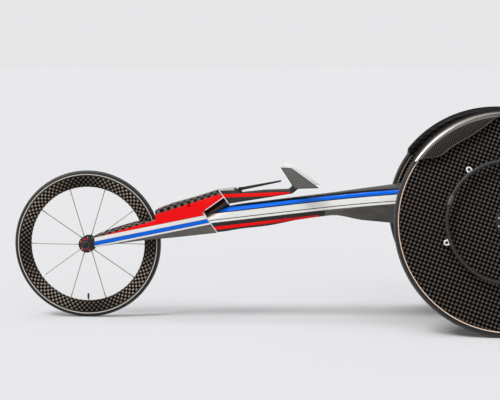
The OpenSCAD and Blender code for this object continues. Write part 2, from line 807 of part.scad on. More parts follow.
module handlebar() {
  front = bar_front_w / 2;
  rear = bar_rear_w / 2;
  rear_x_end = head_x + 2 * bar_l;
  color("white") difference() {
    union() {
      intersection() {
        side_plate([for (i = [0:len(bar_x_shares) - 1]) bar_point(bar_x_shares[i], bar_z_shares[i])],
          0, 2 * bar_rear_w);
        plan_prism([[head_x - bar_l, -front], [head_x, -front], [head_x + bar_l, -rear], [rear_x_end, -rear],
          [rear_x_end, rear], [head_x + bar_l, rear], [head_x, front], [head_x - bar_l, front]],
          0, tub_top_z);
      }
      for (y = [-1, 1]) {
        translate([lever_place.x - ear_r,
          lever_place.y - ear_t / 2 + y * (lever_w + ear_t + 2 * slip_fit) / 2,
          lever_place.z - 3 * ear_r])
          cube([2 * ear_r, ear_t, 4 * ear_r]);
      }
    }
    steer_half(seam_l, false);
    on_steering() translate([0, 0, seam_l - overrun]) cylinder(d = steerer_d, h = steerer_grip + overrun);
    cross_bar(cross_place, cross_tube_d, 2 * bar_rear_w);
    cross_bar(lever_place, pin_d, lever_w + 4 * ear_t);
  }
}

module cross_tube() {
  color("dimgray") cross_bar(cross_place, cross_tube_d, grip_spacing + grip_t);
}

// Fin grips: outline in shares of the fin, measured from the cross tube
fin_x_shares = [-0.49, -0.21, 0.51, -0.127];
fin_z_shares = [0.82, 0.79, -0.14, -0.18];

module grip(y) {
  color([0.38, 0.38, 0.37]) difference() {
    side_plate([for (i = [0:len(fin_x_shares) - 1])
      [cross_place.x + fin_x_shares[i] * grip_l, cross_place.z + fin_z_shares[i] * grip_h]], y, grip_t);
    cross_bar(cross_place, cross_tube_d, 2 * grip_spacing);
  }
}

module grip_left() { grip(-grip_spacing / 2); }
module grip_right() { grip(grip_spacing / 2); }

module lever_pin() {
  color("silver") cross_bar(lever_place, pin_d, lever_w + 2 * (ear_t + slip_fit));
}

// Brake lever: pivot eye and a tapered blade that rises to the rear
lever_rise_share = 0.2;
lever_tip_share = 0.5;
lever_root = 10;

module brake_lever() {
  tip = [lever_place.x + lever_l, lever_place.z + lever_rise_share * lever_l];
  half_tip = lever_tip_share * lever_root / 2;
  half = lever_root / 2;
  color("black") difference() {
    union() {
      cross_bar(lever_place, lever_root, lever_w);
      side_plate([[lever_place.x, lever_place.z - half], [tip.x, tip.y - half_tip],
        [tip.x, tip.y + half_tip], [lever_place.x, lever_place.z + half]], lever_place.y, lever_w);
    }
    cross_bar(lever_place, pin_d + 2 * run_fit, 2 * lever_w);
  }
}

// Brake arms and pads, in the pocket between the blades behind the front wheel
arm_in = rim_w / 2 + pad_gap + pad_t;
arm_y = arm_in + arm_t / 2;
brake_pin_seat = 12;
brake_pin_back = 12;
arm_eye_d = 9;
arm_h = 12;
arm_z_share = 0.46;
pad_l = 12;
pad_h = 9;
pad_margin = 3;
arm_z = front_r + arm_z_share * head_rise;
pad_r = front_bead_r - tyre_r - pad_margin - pad_h / 2;
pad_x = front_x + sqrt(pad_r * pad_r - pow(arm_z - front_r, 2));
brake_pin_x = crown_face_x - brake_pin_back;

module brake_pin_place() {
  translate([brake_pin_x, -arm_y, hood_low_z]) children();
}

module brake_pins() {
  color("silver") both_sides() brake_pin_place()
    translate([0, 0, arm_z - arm_h - hood_low_z])
      cylinder(d = pin_d, h = hood_low_z - arm_z + arm_h + brake_pin_seat);
}

module brake_arm(side) {
  flip = side == "left" ? 0 : 1;
  color("dimgray") mirror([0, flip, 0]) difference() {
    union() {
      translate([pad_x - pad_l / 2, -arm_in - arm_t, arm_z - arm_h / 2])
        cube([brake_pin_x - pad_x + pad_l / 2, arm_t, arm_h]);
      translate([brake_pin_x, -arm_y, arm_z - arm_h / 2]) cylinder(d = arm_eye_d, h = arm_h);
    }
    translate([brake_pin_x, -arm_y, 0]) cylinder(d = pin_d + 2 * run_fit, h = head_z);
  }
}

module brake_arm_left() { brake_arm("left"); }
module brake_arm_right() { brake_arm("right"); }

module brake_pad(side) {
  flip = side == "left" ? 0 : 1;
  color("black") mirror([0, flip, 0]) translate([pad_x - pad_l / 2, -arm_in, arm_z - pad_h / 2])
    cube([pad_l, pad_t, pad_h]);
}

module brake_pad_left() { brake_pad("left"); }
module brake_pad_right() { brake_pad("right"); }

module front_axle() {
  color("silver") cross_bar([front_x, 0, front_r], front_axle_d,
    front_hub_w + 2 * (blade_gap + blade_t + axle_nut_t));
}

blade_end_t = blade_t + blade_thick_shares[1] * (blade_root_t - blade_t);

module axle_nuts() {
  from = front_hub_w / 2 + blade_gap + blade_end_t;
  color("silver") both_sides() on_front_axle() difference() {
    translate([0, 0, from]) cylinder(d = axle_nut_d / cos(30), h = axle_nut_t, $fn = 6);
    cylinder(d = front_axle_d, h = 2 * front_hub_w);
  }
}

module front_tyre() {
  color([0.2, 0.2, 0.2]) on_front_axle() torus(front_bead_r, tyre_w);
}

// Deep rim: parallel brake flanks outside, drawn in to a narrow inner edge
front_rim_in = front_bead_r - front_rim_depth;
rim_inner_w_share = 0.4;
rim_knee_share = 0.45;
rim_knee_w_share = 0.93;

module front_rim() {
  knee_r = front_rim_in + rim_knee_share * front_rim_depth;
  half = rim_w / 2;
  color([0.15, 0.15, 0.15]) on_front_axle() rotate_extrude() difference() {
    polygon([[front_rim_in, -rim_inner_w_share * half], [knee_r, -rim_knee_w_share * half],
      [knee_r + half / 2, -half], [front_bead_r, -half], [front_bead_r, half],
      [knee_r + half / 2, half], [knee_r, rim_knee_w_share * half],
      [front_rim_in, rim_inner_w_share * half]]);
    translate([front_bead_r, 0]) circle(d = tyre_w);
  }
}

// Spokes run from the two flanges, by turns, to the rim's inner edge
nipple_l = 12;
nipple_d = 4.4;
flange_y_share = 0.62;
flange_t = 4;
flange_y = flange_y_share * front_hub_w / 2;

function spoke_dir(k) = [cos(k * 360 / spoke_count), sin(k * 360 / spoke_count), 0];
function spoke_foot(k) = front_flange_d / 2 * spoke_dir(k) + [0, 0, (k % 2 == 0 ? 1 : -1) * flange_y];
function spoke_head(k) = front_rim_in * spoke_dir(k);
function spoke_at(k, back) = let (v = spoke_foot(k) - spoke_head(k)) spoke_head(k) + back * v / norm(v);

module front_spokes() {
  color("darkgray") on_front_axle() for (k = [0:spoke_count - 1]) {
    rod(spoke_foot(k), spoke_at(k, nipple_l / 2), spoke_d);
  }
}

module spoke_nipples() {
  color("silver") on_front_axle() for (k = [0:spoke_count - 1]) {
    difference() {
      rod(spoke_at(k, nipple_l), spoke_at(k, slip_fit), nipple_d);
      rod(spoke_foot(k), spoke_at(k, nipple_l / 2), spoke_d);
    }
  }
}

hub_barrel_d = 26;
hub_end_d = 32;
hub_ring_t = 3;
hub_ring_l = 6;

module front_hub() {
  half = front_hub_w / 2;
  color([0.12, 0.12, 0.12]) on_front_axle() difference() {
    union() {
      cylinder(d = hub_barrel_d, h = front_hub_w, center = true);
      for (s = [-1, 1]) {
        translate([0, 0, s * flange_y]) cylinder(d = front_flange_d, h = flange_t, center = true);
        translate([0, 0, s * (half + flange_y) / 2])
          cylinder(d = hub_end_d, h = half - flange_y, center = true);
      }
    }
    cylinder(d = front_axle_d + 2 * core_gap, h = 2 * front_hub_w, center = true);
    for (s = [-1, 1]) {
      translate([0, 0, s * half]) cylinder(d = front_bearing_d, h = 2 * bearing_w, center = true);
    }
  }
}

module hub_rings() {
  half = front_hub_w / 2;
  color("red") both_sides() on_front_axle()
    ring(hub_end_d + 2 * hub_ring_t, hub_end_d, half - overrun - hub_ring_l, half - overrun);
}

module front_bearings() {
  half = front_hub_w / 2;
  color("silver") both_sides() on_front_axle()
    ring(front_bearing_d, front_axle_d + 2 * run_fit, half - bearing_w, half);
}

valve_d = 6;
valve_l = 22;
valve_seat_d = 8;
valve_seat_l = 4;

module front_valve() {
  color("black") translate([front_x, 0, front_r - front_rim_in]) {
    cylinder(d = valve_d, h = valve_l);
    cylinder(d = valve_seat_d, h = valve_seat_l);
  }
}

// Rear wheel pieces, in the wheel's frame
post_r = push_rim_d / 2 + post_reach;
rim_in_r = rear_bead_r - disc_rim_depth;
barrel_r = rear_barrel_d / 2;
foot_top = disc_hub_w / 2;

module rear_tyre(side) {
  color([0.2, 0.2, 0.2]) on_rear_axle(side) torus(rear_bead_r, tyre_w);
}

module rear_tyre_left() { rear_tyre("left"); }
module rear_tyre_right() { rear_tyre("right"); }

module post_places() {
  for (k = [0:post_count - 1]) {
    rotate([0, 0, post_start + k * 360 / post_count]) translate([post_r, 0, 0]) children();
  }
}

// Two skins that meet in the rim band, with a foot for each push rim post
module rear_disc(side) {
  half = rim_w / 2;
  hub_half = disc_hub_w / 2;
  inside = rim_in_r - disc_skin_t;
  slope = (hub_half - half) / (rim_in_r - barrel_r);
  post_face = half + slope * (rim_in_r - post_r);
  color([0.15, 0.15, 0.15]) on_rear_axle(side) {
    rotate_extrude() difference() {
      polygon([[barrel_r, hub_half], [rim_in_r, half], [rear_bead_r, half], [rear_bead_r, -half],
        [rim_in_r, -half], [barrel_r, -hub_half], [barrel_r, disc_skin_t - hub_half],
        [inside, disc_skin_t - half], [inside, half - disc_skin_t], [barrel_r, hub_half - disc_skin_t]]);
      translate([rear_bead_r, 0]) circle(d = tyre_w);
    }
    post_places() translate([0, 0, post_face - disc_skin_t])
      cylinder(d = post_foot_d, h = foot_top - post_face + disc_skin_t);
  }
}

module rear_disc_left() { rear_disc("left"); }
module rear_disc_right() { rear_disc("right"); }

hub_nose_share = 0.62;
rear_flange_t = 4;

module rear_hub(side) {
  nose_d = hub_nose_share * rear_flange_d;
  color([0.12, 0.12, 0.12]) on_rear_axle(side) difference() {
    union() {
      cylinder(d = rear_barrel_d, h = disc_hub_w, center = true);
      cylinder(d = nose_d, h = rear_hub_w, center = true);
      for (s = [-1, 1]) {
        translate([0, 0, s * (disc_hub_w + rear_flange_t) / 2])
          cylinder(d = rear_flange_d, h = rear_flange_t, center = true);
      }
    }
    cylinder(d = rear_axle_d + 2 * core_gap, h = 2 * rear_hub_w, center = true);
    for (s = [-1, 1]) {
      translate([0, 0, s * hub_end]) cylinder(d = rear_bearing_d, h = 2 * bearing_w, center = true);
    }
  }
}

module rear_hub_left() { rear_hub("left"); }
module rear_hub_right() { rear_hub("right"); }

module rear_bearings(side) {
  color("silver") on_rear_axle(side) for (s = [0, 1]) {
    mirror([0, 0, s]) ring(rear_bearing_d, rear_axle_d + 2 * run_fit, hub_end - bearing_w, hub_end);
  }
}

module rear_bearings_left() { rear_bearings("left"); }
module rear_bearings_right() { rear_bearings("right"); }

// Push rim with a tab for each post
module push_rim(side) {
  tab_low = push_rim_out - tab_t / 2;
  color([0.3, 0.3, 0.3]) on_rear_axle(side) {
    translate([0, 0, push_rim_out]) torus(push_rim_d / 2, push_tube_d);
    post_places() difference() {
      union() {
        translate([0, 0, tab_low]) cylinder(d = post_foot_d, h = tab_t);
        translate([-post_reach, -post_foot_d / 2, tab_low]) cube([post_reach, post_foot_d, tab_t]);
      }
      translate([0, 0, tab_low - overrun]) cylinder(d = bolt_d, h = tab_t + 2 * overrun);
    }
  }
}

module push_rim_left() { push_rim("left"); }
module push_rim_right() { push_rim("right"); }

module rim_posts(side) {
  post_top = push_rim_out - tab_t / 2;
  color("silver") on_rear_axle(side) post_places() difference() {
    translate([0, 0, foot_top]) cylinder(d = post_d, h = post_top - foot_top);
    translate([0, 0, foot_top + overrun]) cylinder(d = bolt_d, h = post_top - foot_top);
  }
}

module rim_posts_left() { rim_posts("left"); }
module rim_posts_right() { rim_posts("right"); }

post_bolt_l = 14;

module post_bolts(side) {
  color("silver") on_rear_axle(side) post_places() translate([0, 0, push_rim_out + tab_t / 2]) {
    translate([0, 0, -post_bolt_l]) cylinder(d = bolt_d, h = post_bolt_l);
    difference() {
      cylinder(d = post_bolt_d, h = bolt_head_h);
      translate([0, 0, bolt_head_h / 2]) cylinder(d = post_bolt_d / 2, h = bolt_head_h, $fn = 6);
    }
  }
}

module post_bolts_left() { post_bolts("left"); }
module post_bolts_right() { post_bolts("right"); }

main_beam();
cockpit_tub();
head_tube();
head_bearings();
centring_sleeve();
axle_tube();
camber_plug_left();
camber_plug_right();
plug_bolts();
quick_axle_left();
quick_axle_right();
seat_board();
seat_cushion();
back_pad();
knee_pad();
fender_left();
fender_right();
fender_spacers();
fender_bolts();
fork_crown();
fork_blade_left();
fork_blade_right();
steerer();
handlebar();
cross_tube();
grip_left();
grip_right();
lever_pin();
front_axle();
axle_nuts();
brake_pins();
brake_lever();
brake_arm_left();
brake_arm_right();
brake_pad_left();
brake_pad_right();
front_tyre();
front_rim();
front_spokes();
spoke_nipples();
front_hub();
hub_rings();
front_bearings();
front_valve();
rear_tyre_left();
rear_disc_left();
rear_hub_left();
rear_bearings_left();
push_rim_left();
rim_posts_left();
post_bolts_left();
axle_button_left();
rear_tyre_right();
rear_disc_right();
rear_hub_right();
rear_bearings_right();
push_rim_right();
rim_posts_right();
post_bolts_right();
axle_button_right();
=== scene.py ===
import json
import logging
import math
from dataclasses import dataclass, replace
from enum import Enum
from typing import Callable, Optional, Sequence, Union

import bmesh
import bpy
from mathutils import Matrix, Vector


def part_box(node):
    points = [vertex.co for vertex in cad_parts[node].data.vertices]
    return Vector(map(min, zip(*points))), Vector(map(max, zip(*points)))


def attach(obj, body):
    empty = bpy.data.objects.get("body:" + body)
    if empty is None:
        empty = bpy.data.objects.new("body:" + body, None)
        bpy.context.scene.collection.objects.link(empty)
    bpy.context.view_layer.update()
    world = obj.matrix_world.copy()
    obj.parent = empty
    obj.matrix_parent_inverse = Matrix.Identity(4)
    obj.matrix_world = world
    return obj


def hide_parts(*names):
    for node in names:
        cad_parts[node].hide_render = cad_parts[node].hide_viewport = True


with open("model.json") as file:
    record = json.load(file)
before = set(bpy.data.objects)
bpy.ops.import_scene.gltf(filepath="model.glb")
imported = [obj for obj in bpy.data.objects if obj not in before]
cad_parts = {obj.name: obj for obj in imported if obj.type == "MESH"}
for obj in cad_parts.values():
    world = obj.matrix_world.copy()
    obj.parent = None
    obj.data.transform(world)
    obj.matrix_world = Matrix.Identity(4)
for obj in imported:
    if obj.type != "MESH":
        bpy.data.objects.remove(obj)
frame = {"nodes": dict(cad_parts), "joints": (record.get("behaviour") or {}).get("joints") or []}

# Sizes are millimetres in the classes and metres in the meshes. Points nearer than DOUBLE are one.
# The front is -X, the rider's left is -Y, and Z is up from the ground.
MM = 0.001
DOUBLE = 1e-6
TURN = 2 * math.pi
LOG = logging.getLogger("racing_wheelchair")
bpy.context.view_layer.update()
JOINTS = {joint["name"]: joint for joint in frame["joints"]}

Piece = bpy.types.Object
Material = bpy.types.Material
Socket = bpy.types.NodeSocket
Face = bpy.types.MeshPolygon
Point = tuple[float, float]
Spot = tuple[float, float, float]
Colour = tuple[float, float, float]
Value = Union["Signal", float]
Tint = Union["Signal", Colour]


class Body(Enum):
    """Bodies of the frame that pieces ride on."""

    CHASSIS = "chassis"
    STEERING = "steering"
    LEVER = "brake_lever"
    FRONT_WHEEL = "front_wheel"
    REAR_LEFT = "rear_wheel_left"
    REAR_RIGHT = "rear_wheel_right"


class Side(Enum):
    """Left and right halves of the chair."""

    LEFT = "left"
    RIGHT = "right"

    @property
    def sign(self) -> int:
        """Sign of Y on this side."""
        return -1 if self is Side.LEFT else 1

    @property
    def wheel(self) -> Body:
        """Body of this side's rear wheel."""
        return Body.REAR_LEFT if self is Side.LEFT else Body.REAR_RIGHT

    def of(self, word: str) -> str:
        """Name of this side's own piece or node."""
        return f"{word}_{self.value}"


class Lay(Enum):
    """How a weave lies: flat on a plane, wound round an axle, or along each wall."""

    FLAT = "flat"
    ROUND = "round"
    WALLS = "walls"


def screen(*channels: int) -> Colour:
    """Turns an 8-bit screen colour of red, green and blue into a linear one."""
    shares = [value / 255 for value in channels]
    return tuple(s / 12.92 if s <= 0.04045 else ((s + 0.055) / 1.055) ** 2.4 for s in shares)


RED = screen(250, 4, 10)
WHITE = screen(238, 238, 234)
BLUE = screen(2, 102, 226)
INK = screen(14, 14, 15)
CHARCOAL = screen(46, 45, 44)
BAR_TOP_HIGHLIGHT_GREY = screen(176, 172, 168)
INK_SMOKE = screen(66, 63, 60)
GREY_TOW = screen(100, 97, 92)
DARK_TOW = screen(40, 39, 37)


def operation(kind: str, turned: bool = False) -> Callable[..., "Signal"]:
    """Makes a method that puts a signal through one Math node.

    Args:
        kind: What the node does.
        turned: True if the signal is the node's last value instead of its first.

    Returns:
        The method.
    """
    def apply(self: "Signal", *others: Value) -> "Signal":
        """Result of the node for this signal and the other values."""
        return self.tree.math(kind, *((*others, self) if turned else (self, *others)))

    return apply


class Signal:
    """A shader value that takes part in Python sums."""

    def __init__(self, tree: "Nodes", socket: Socket) -> None:
        """Wraps one output socket of a tree."""
        self.tree = tree
        self.socket = socket

    __add__ = __radd__ = operation("ADD")
    __sub__ = operation("SUBTRACT")
    __rsub__ = operation("SUBTRACT", True)
    __mul__ = __rmul__ = operation("MULTIPLY")
    __truediv__ = operation("DIVIDE")
    __rtruediv__ = operation("DIVIDE", True)
    __pow__ = operation("POWER")
    __rpow__ = operation("POWER", True)
    floor = operation("FLOOR")
    fraction = operation("FRACT")
    modulo = operation("FLOORED_MODULO")
    below = operation("LESS_THAN")
    root = operation("SQRT")

    def clipped(self) -> "Signal":
        """The value held between 0 and 1."""
        return self.tree.math("MINIMUM", self.tree.math("MAXIMUM", self, 0.0), 1.0)

    def crown(self) -> "Signal":
        """Arch that is 0 at whole numbers and 1 half way between them."""
        return 1.0 - (self.fraction() * 2.0 - 1.0) ** 2.0


class Nodes:
    """A node tree that is filled step by step."""

    def __init__(self, tree: bpy.types.NodeTree) -> None:
        """Empties the tree and keeps it."""
        self.tree = tree
        self.tree.nodes.clear()

    def node(self, kind: str, inputs: Optional[dict] = None, stops: Sequence[tuple] = (),
             **settings: str) -> bpy.types.Node:
        """Adds a node.

        Args:
            kind: The node's type name.
            inputs: Values or links of its sockets, by name or index.
            stops: Places and colours of a ramp's stops, which are set first.
            settings: Attributes, which are set first too.

        Returns:
            The node.
        """
        made = self.tree.nodes.new(kind)
        for key, value in settings.items():
            setattr(made, key, value)
        for _ in stops[2:]:
            made.color_ramp.elements.new(0.5)
        for k, (position, colour) in enumerate(stops):
            made.color_ramp.elements[k].position = position
            made.color_ramp.elements[k].color = (*colour, 1.0)
        for key, value in (inputs or {}).items():
            source = value.socket if isinstance(value, Signal) else value
            if isinstance(source, Socket):
                self.tree.links.new(source, made.inputs[key])
            else:
                made.inputs[key].default_value = source
        return made

    def value(self, kind: str, output: Union[int, str], inputs: dict, **settings: str) -> Signal:
        """Adds a node and gives one of its outputs."""
        return Signal(self, self.node(kind, inputs, **settings).outputs[output])

    def math(self, kind: str, *values: Value) -> Signal:
        """Adds a Math node and gives its result."""
        return self.value("ShaderNodeMath", 0, dict(enumerate(values)), operation=kind)


class ShaderTree(Nodes):
    """The node tree of one material."""

    def __init__(self, name: str) -> None:
        """Starts an empty material.

        Args:
            name: The material's name.
        """
        self.material = bpy.data.materials.new(name)
        self.material.use_nodes = True
        super().__init__(self.material.node_tree)
        self.place = self.node("ShaderNodeTexCoord").outputs["Object"]

    def along(self, axis: Vector, origin: Vector) -> Signal:
        """Distance along a unit axis from an origin, both in the row frame, in millimetres."""
        shifted = self.node("ShaderNodeVectorMath", {0: self.place, 1: tuple(origin * MM)},
                            operation="SUBTRACT")
        return self.value("ShaderNodeVectorMath", "Value",
                          {0: shifted.outputs[0], 1: tuple(axis / MM)}, operation="DOT_PRODUCT")

    def combine(self, x: Value, y: Value, z: Value) -> Socket:
        """Vector of three values."""
        return self.node("ShaderNodeCombineXYZ", {0: x, 1: y, 2: z}).outputs[0]

    def noise(self, scale: float, detail: float = 2.0,
              vector: Optional[Socket] = None) -> Signal:
        """Cloudy noise from 0 to 1, by a vector or, where none is given, by metres."""
        return self.value("ShaderNodeTexNoise", 0,
                          {"Vector": vector or self.place, "Scale": scale, "Detail": detail})

    def mix(self, share: Value, first: Tint, second: Tint) -> Signal:
        """Blends two colours, from the first at share 0 to the second at share 1."""
        ends = [end if isinstance(end, Signal) else (*end, 1.0) for end in (first, second)]
        return self.value("ShaderNodeMix", 2, {0: share, 6: ends[0], 7: ends[1]}, data_type="RGBA")

    def surface(self, colour: Tint, roughness: Value, height: Optional[Signal] = None,
                depth: float = 0.1, **constants: float) -> Material:
        """Ends the tree in one shader.

        Args:
            colour: Base colour.
            roughness: Roughness.
            height: Relief for the bump, if any.
            depth: Depth of that relief, in millimetres.
            constants: Values of other sockets, with _ for each space.

        Returns:
            The finished material.
        """
        inputs: dict = {"Base Color": colour if isinstance(colour, Signal) else (*colour, 1.0),
                        "Roughness": roughness}
        for key, value in constants.items():
            inputs[key.replace("_", " ")] = value
        if height is not None:
            bump = self.node("ShaderNodeBump",
                             {"Height": height, "Strength": 1.0, "Distance": depth * MM})
            inputs["Normal"] = bump.outputs[0]
        shader = self.node("ShaderNodeBsdfPrincipled", inputs)
        self.node("ShaderNodeOutputMaterial", {"Surface": shader.outputs[0]})
        return self.material


@dataclass(frozen=True)
class Axes:
    """A local frame: its origin in millimetres and its unit axes."""

    origin: Vector
    x: Vector
    y: Vector
    z: Vector

    @property
    def matrix(self) -> Matrix:
        """Matrix from local to row frame, in millimetres."""
        turn = Matrix((self.x, self.y, self.z)).transposed().to_4x4()
        return Matrix.Translation(self.origin) @ turn


def joint_axes(name: str, along: Vector, mirrored: bool = False) -> Axes:
    """Frame of a joint, with Z on its axis.

    Args:
        name: The joint.
        along: Direction that local X takes.
        mirrored: True for a frame that is the mirror image of the left one.

    Returns:
        The frame.
    """
    joint = JOINTS[name]
    z = Vector(joint["axis"]).normalized()
    x = (along - along.dot(z) * z).normalized()
    y = x.cross(z) if mirrored else z.cross(x)
    return Axes(Vector(joint["pos_m"]) / MM, x, y, z)


REARWARD = Vector((1, 0, 0))
UPWARD = Vector((0, 0, 1))
ACROSS = Vector((0, 1, 0))
HERE = Axes(Vector(), REARWARD, ACROSS, UPWARD)
FRONT_AXLE = joint_axes("front_wheel_spin", REARWARD, True)
REAR_AXLE = {Side.LEFT: joint_axes("rear_wheel_left_spin", REARWARD),
             Side.RIGHT: joint_axes("rear_wheel_right_spin", REARWARD, True)}
HEAD = joint_axes("steer", UPWARD)


# The longest share of a side that the round of one corner takes up.
CORNER_REACH = 0.45


def rounded(outline: Sequence[Point], radius: Union[float, Sequence[float]],
            steps: int = 4) -> list[Point]:
    """Rounds the corners of a closed outline.

    Args:
        outline: Corner points in order.
        radius: One radius, or one for each corner.
        steps: Segments in each round.

    Returns:
        The points of the rounded outline.
    """
    made: list[Point] = []
    for i, corner in enumerate(outline):
        size = radius if isinstance(radius, (int, float)) else radius[i]
        point = Vector(corner)
        before = Vector(outline[i - 1]) - point
        after = Vector(outline[(i + 1) % len(outline)]) - point
        half = before.angle(after) / 2
        reach = min(size / math.tan(half), CORNER_REACH * before.length,
                    CORNER_REACH * after.length)
        first, last = point + before.normalized() * reach, point + after.normalized() * reach
        if reach <= 0:
            made.append((point.x, point.y))
            continue
        for k in range(steps + 1):
            t = k / steps
            spot = (1 - t) ** 2 * first + 2 * t * (1 - t) * point + t * t * last
            made.append((spot.x, spot.y))
    return made


class Track:
    """A size that runs smoothly through stations, without overshoot."""

    def __init__(self, places: Sequence[float], values: Sequence[float]) -> None:
        """Works out a slope at each station.

        Args:
            places: Places of the stations along the run.
            values: Sizes there.
        """
        self.places, self.values = list(places), list(values)
        rises = [(values[i + 1] - values[i]) / (places[i + 1] - places[i])
                 for i in range(len(places) - 1)]
        inner = [0.0 if a * b <= 0 else 2 * a * b / (a + b) for a, b in zip(rises, rises[1:])]
        self.slopes = [rises[0], *inner, rises[-1]]

    def at(self, place: float) -> float:
        """The size at a place.

        Args:
            place: Distance along the run.

        Returns:
            The size there.
        """
        i = max(0, min(len(self.places) - 2, sum(p <= place for p in self.places) - 1))
        span = self.places[i + 1] - self.places[i]
        t = (place - self.places[i]) / span
        return ((1 + 2 * t) * (1 - t) ** 2 * self.values[i]
                + t * (1 - t) ** 2 * span * self.slopes[i]
                + t * t * (3 - 2 * t) * self.values[i + 1]
                + t * t * (t - 1) * span * self.slopes[i + 1])


def spread(first: float, last: float, count: int) -> list[float]:
    """Even values from first to last, both included."""
    return [first + (last - first) * k / (count - 1) for k in range(count)]


def turns(count: int) -> list[float]:
    """Angles of equal steps round a full turn."""
    return spread(0, TURN, count + 1)[:-1]


def hoop(middle: Vector, radius: float, out: Vector, up: Vector, count: int) -> list[Vector]:
    """Points round a circle, from its out direction towards its up direction."""
    return [middle + radius * (math.cos(a) * out + math.sin(a) * up) for a in turns(count)]


def mirrored(half: Sequence[Point], flip: Point) -> list[Point]:
    """A half outline, then its mirror image in reverse, which is the half times the flip."""
    return [*half, *((flip[0] * a, flip[1] * b) for a, b in reversed(half))]


# Flips for cross sections of Y and Z, and for profiles of radius and height.
SIDEWAYS = (-1, 1)
ENDWISE = (1, -1)


class Shape:
    """Points in millimetres and faces, gathered before they become a piece."""

    def __init__(self) -> None:
        """Starts empty."""
        self.points: list[Vector] = []
        self.faces: list[tuple[int, ...]] = []

    def skin(self, rings: Sequence[Sequence[Sequence[float]]], ring_closed: bool = True,
             path_closed: bool = False, caps: bool = True) -> "Shape":
        """Joins rings of equal counts with four-sided faces.

        Args:
            rings: Rings of points.
            ring_closed: True if each ring's last point joins its first.
            path_closed: True if the last ring joins the first.
            caps: True if the two end rings are filled.

        Returns:
            This shape.
        """
        start, count, total = len(self.points), len(rings[0]), len(rings)
        self.points.extend(Vector(point) for ring in rings for point in ring)
        for i in range(total if path_closed else total - 1):
            for j in range(count if ring_closed else count - 1):
                near, far = start + i * count, start + (i + 1) % total * count
                k = (j + 1) % count
                self.faces.append((near + j, near + k, far + k, far + j))
        if caps and ring_closed and not path_closed:
            self.faces.append(tuple(start + j for j in reversed(range(count))))
            self.faces.append(tuple(start + (total - 1) * count + j for j in range(count)))
        return self

    def turned(self, profile: Sequence[Point], segments: int = 128) -> "Shape":
        """Turns a closed profile of radius and height round local Z."""
        rings = [[(r * math.cos(a), r * math.sin(a), s) for r, s in profile]
                 for a in turns(segments)]
        return self.skin(rings, path_closed=True)

    def rod(self, start: Vector, end: Vector, radii: Sequence[Point],
            segments: int = 16) -> "Shape":
        """Adds a round rod between two points.

        Args:
            start: First end.
            end: Last end.
            radii: Share of the length and radius at each ring.
            segments: Points in each ring.

        Returns:
            This shape.
        """
        way = (end - start).normalized()
        side = way.orthogonal().normalized()
        other = way.cross(side)
        return self.skin([hoop(start.lerp(end, share), radius, side, other, segments)
                          for share, radius in radii])

    def cord(self, path: Sequence[Vector], radius: float, across: Vector, count: int) -> "Shape":
        """Adds a closed round cord along a path.

        Args:
            path: Points of its middle line.
            radius: Its radius.
            across: Direction that the path lies across.
            count: Points in each ring.

        Returns:
            This shape.
        """
        rings = []
        for i, point in enumerate(path):
            way = (path[(i + 1) % len(path)] - path[i - 1]).normalized()
            out = way.cross(across).normalized()
            rings.append(hoop(point, radius, out, out.cross(way), count))
        return self.skin(rings, path_closed=True)

    def prism(self, outline: Sequence[Point], low: float, high: float) -> "Shape":
        """Adds an upright prism over an outline in local X and Y."""
        return self.skin([[(x, y, z) for x, y in outline] for z in (low, high)])

    def piece(self, name: str, axes: Axes = HERE, sharp: float = 35.0) -> Piece:
        """Makes a piece of the shape, in the row frame.

        Args:
            name: The piece's name.
            axes: Local frame of the points.
            sharp: Least turn of an edge that stays sharp, in degrees.

        Returns:
            The new object, at the origin, with its place in its mesh.
        """
        mesh = bpy.data.meshes.new(name)
        move = axes.matrix
        mesh.from_pydata([(move @ point) * MM for point in self.points], [], self.faces)
        return tidy_mesh(linked(name, mesh), sharp)


def linked(name: str, data: bpy.types.ID) -> Piece:
    """Sets an object up in the scene.

    Args:
        name: The object's name.
        data: Its mesh, lamp or camera.

    Returns:
        The object.
    """
    made = bpy.data.objects.new(name, data)
    bpy.context.scene.collection.objects.link(made)
    return made


def smooth(piece: Piece, sharp: float) -> Piece:
    """Shades a piece smooth between its sharp edges.

    Args:
        piece: The piece.
        sharp: Least turn of an edge that stays sharp, in degrees.

    Returns:
        The same piece.
    """
    piece.data.shade_smooth()
    piece.data.set_sharp_from_angle(angle=math.radians(sharp))
    return piece


def tidy_mesh(piece: Piece, sharp: float = 35.0) -> Piece:
    """Merges doubles, turns faces outward and sets smooth shading.

    Args:
        piece: The piece to tidy.
        sharp: Least turn of an edge that stays sharp, in degrees.

    Returns:
        The same piece.
    """
    work = bmesh.new()
    work.from_mesh(piece.data)
    bmesh.ops.remove_doubles(work, verts=work.verts, dist=DOUBLE)
    bmesh.ops.recalc_face_normals(work, faces=work.faces)
    work.to_mesh(piece.data)
    work.free()
    return smooth(piece, sharp)


def baked(piece: Piece) -> Piece:
    """Turns a piece and its modifiers into one plain mesh.

    Args:
        piece: The piece.

    Returns:
        The same piece.
    """
    graph = bpy.context.evaluated_depsgraph_get()
    mesh = bpy.data.meshes.new_from_object(piece.evaluated_get(graph))
    piece.modifiers.clear()
    piece.data = mesh
    return piece


def modify(piece: Piece, kind: str, **settings: object) -> None:
    """Puts a piece through one modifier and leaves it a plain mesh.

    Args:
        piece: The piece.
        kind: The modifier's type name.
        settings: Its settings.
    """
    modifier = piece.modifiers.new(kind.lower(), kind)
    for key, value in settings.items():
        setattr(modifier, key, value)
    baked(piece)


def bevelled(piece: Piece, width: float, segments: int, angle: float,
             sharp: float = 40.0) -> Piece:
    """Rounds every edge that turns by more than an angle, over a width in millimetres."""
    modify(piece, "BEVEL", width=width * MM, segments=segments, limit_method="ANGLE",
           angle_limit=math.radians(angle))
    return smooth(piece, sharp)


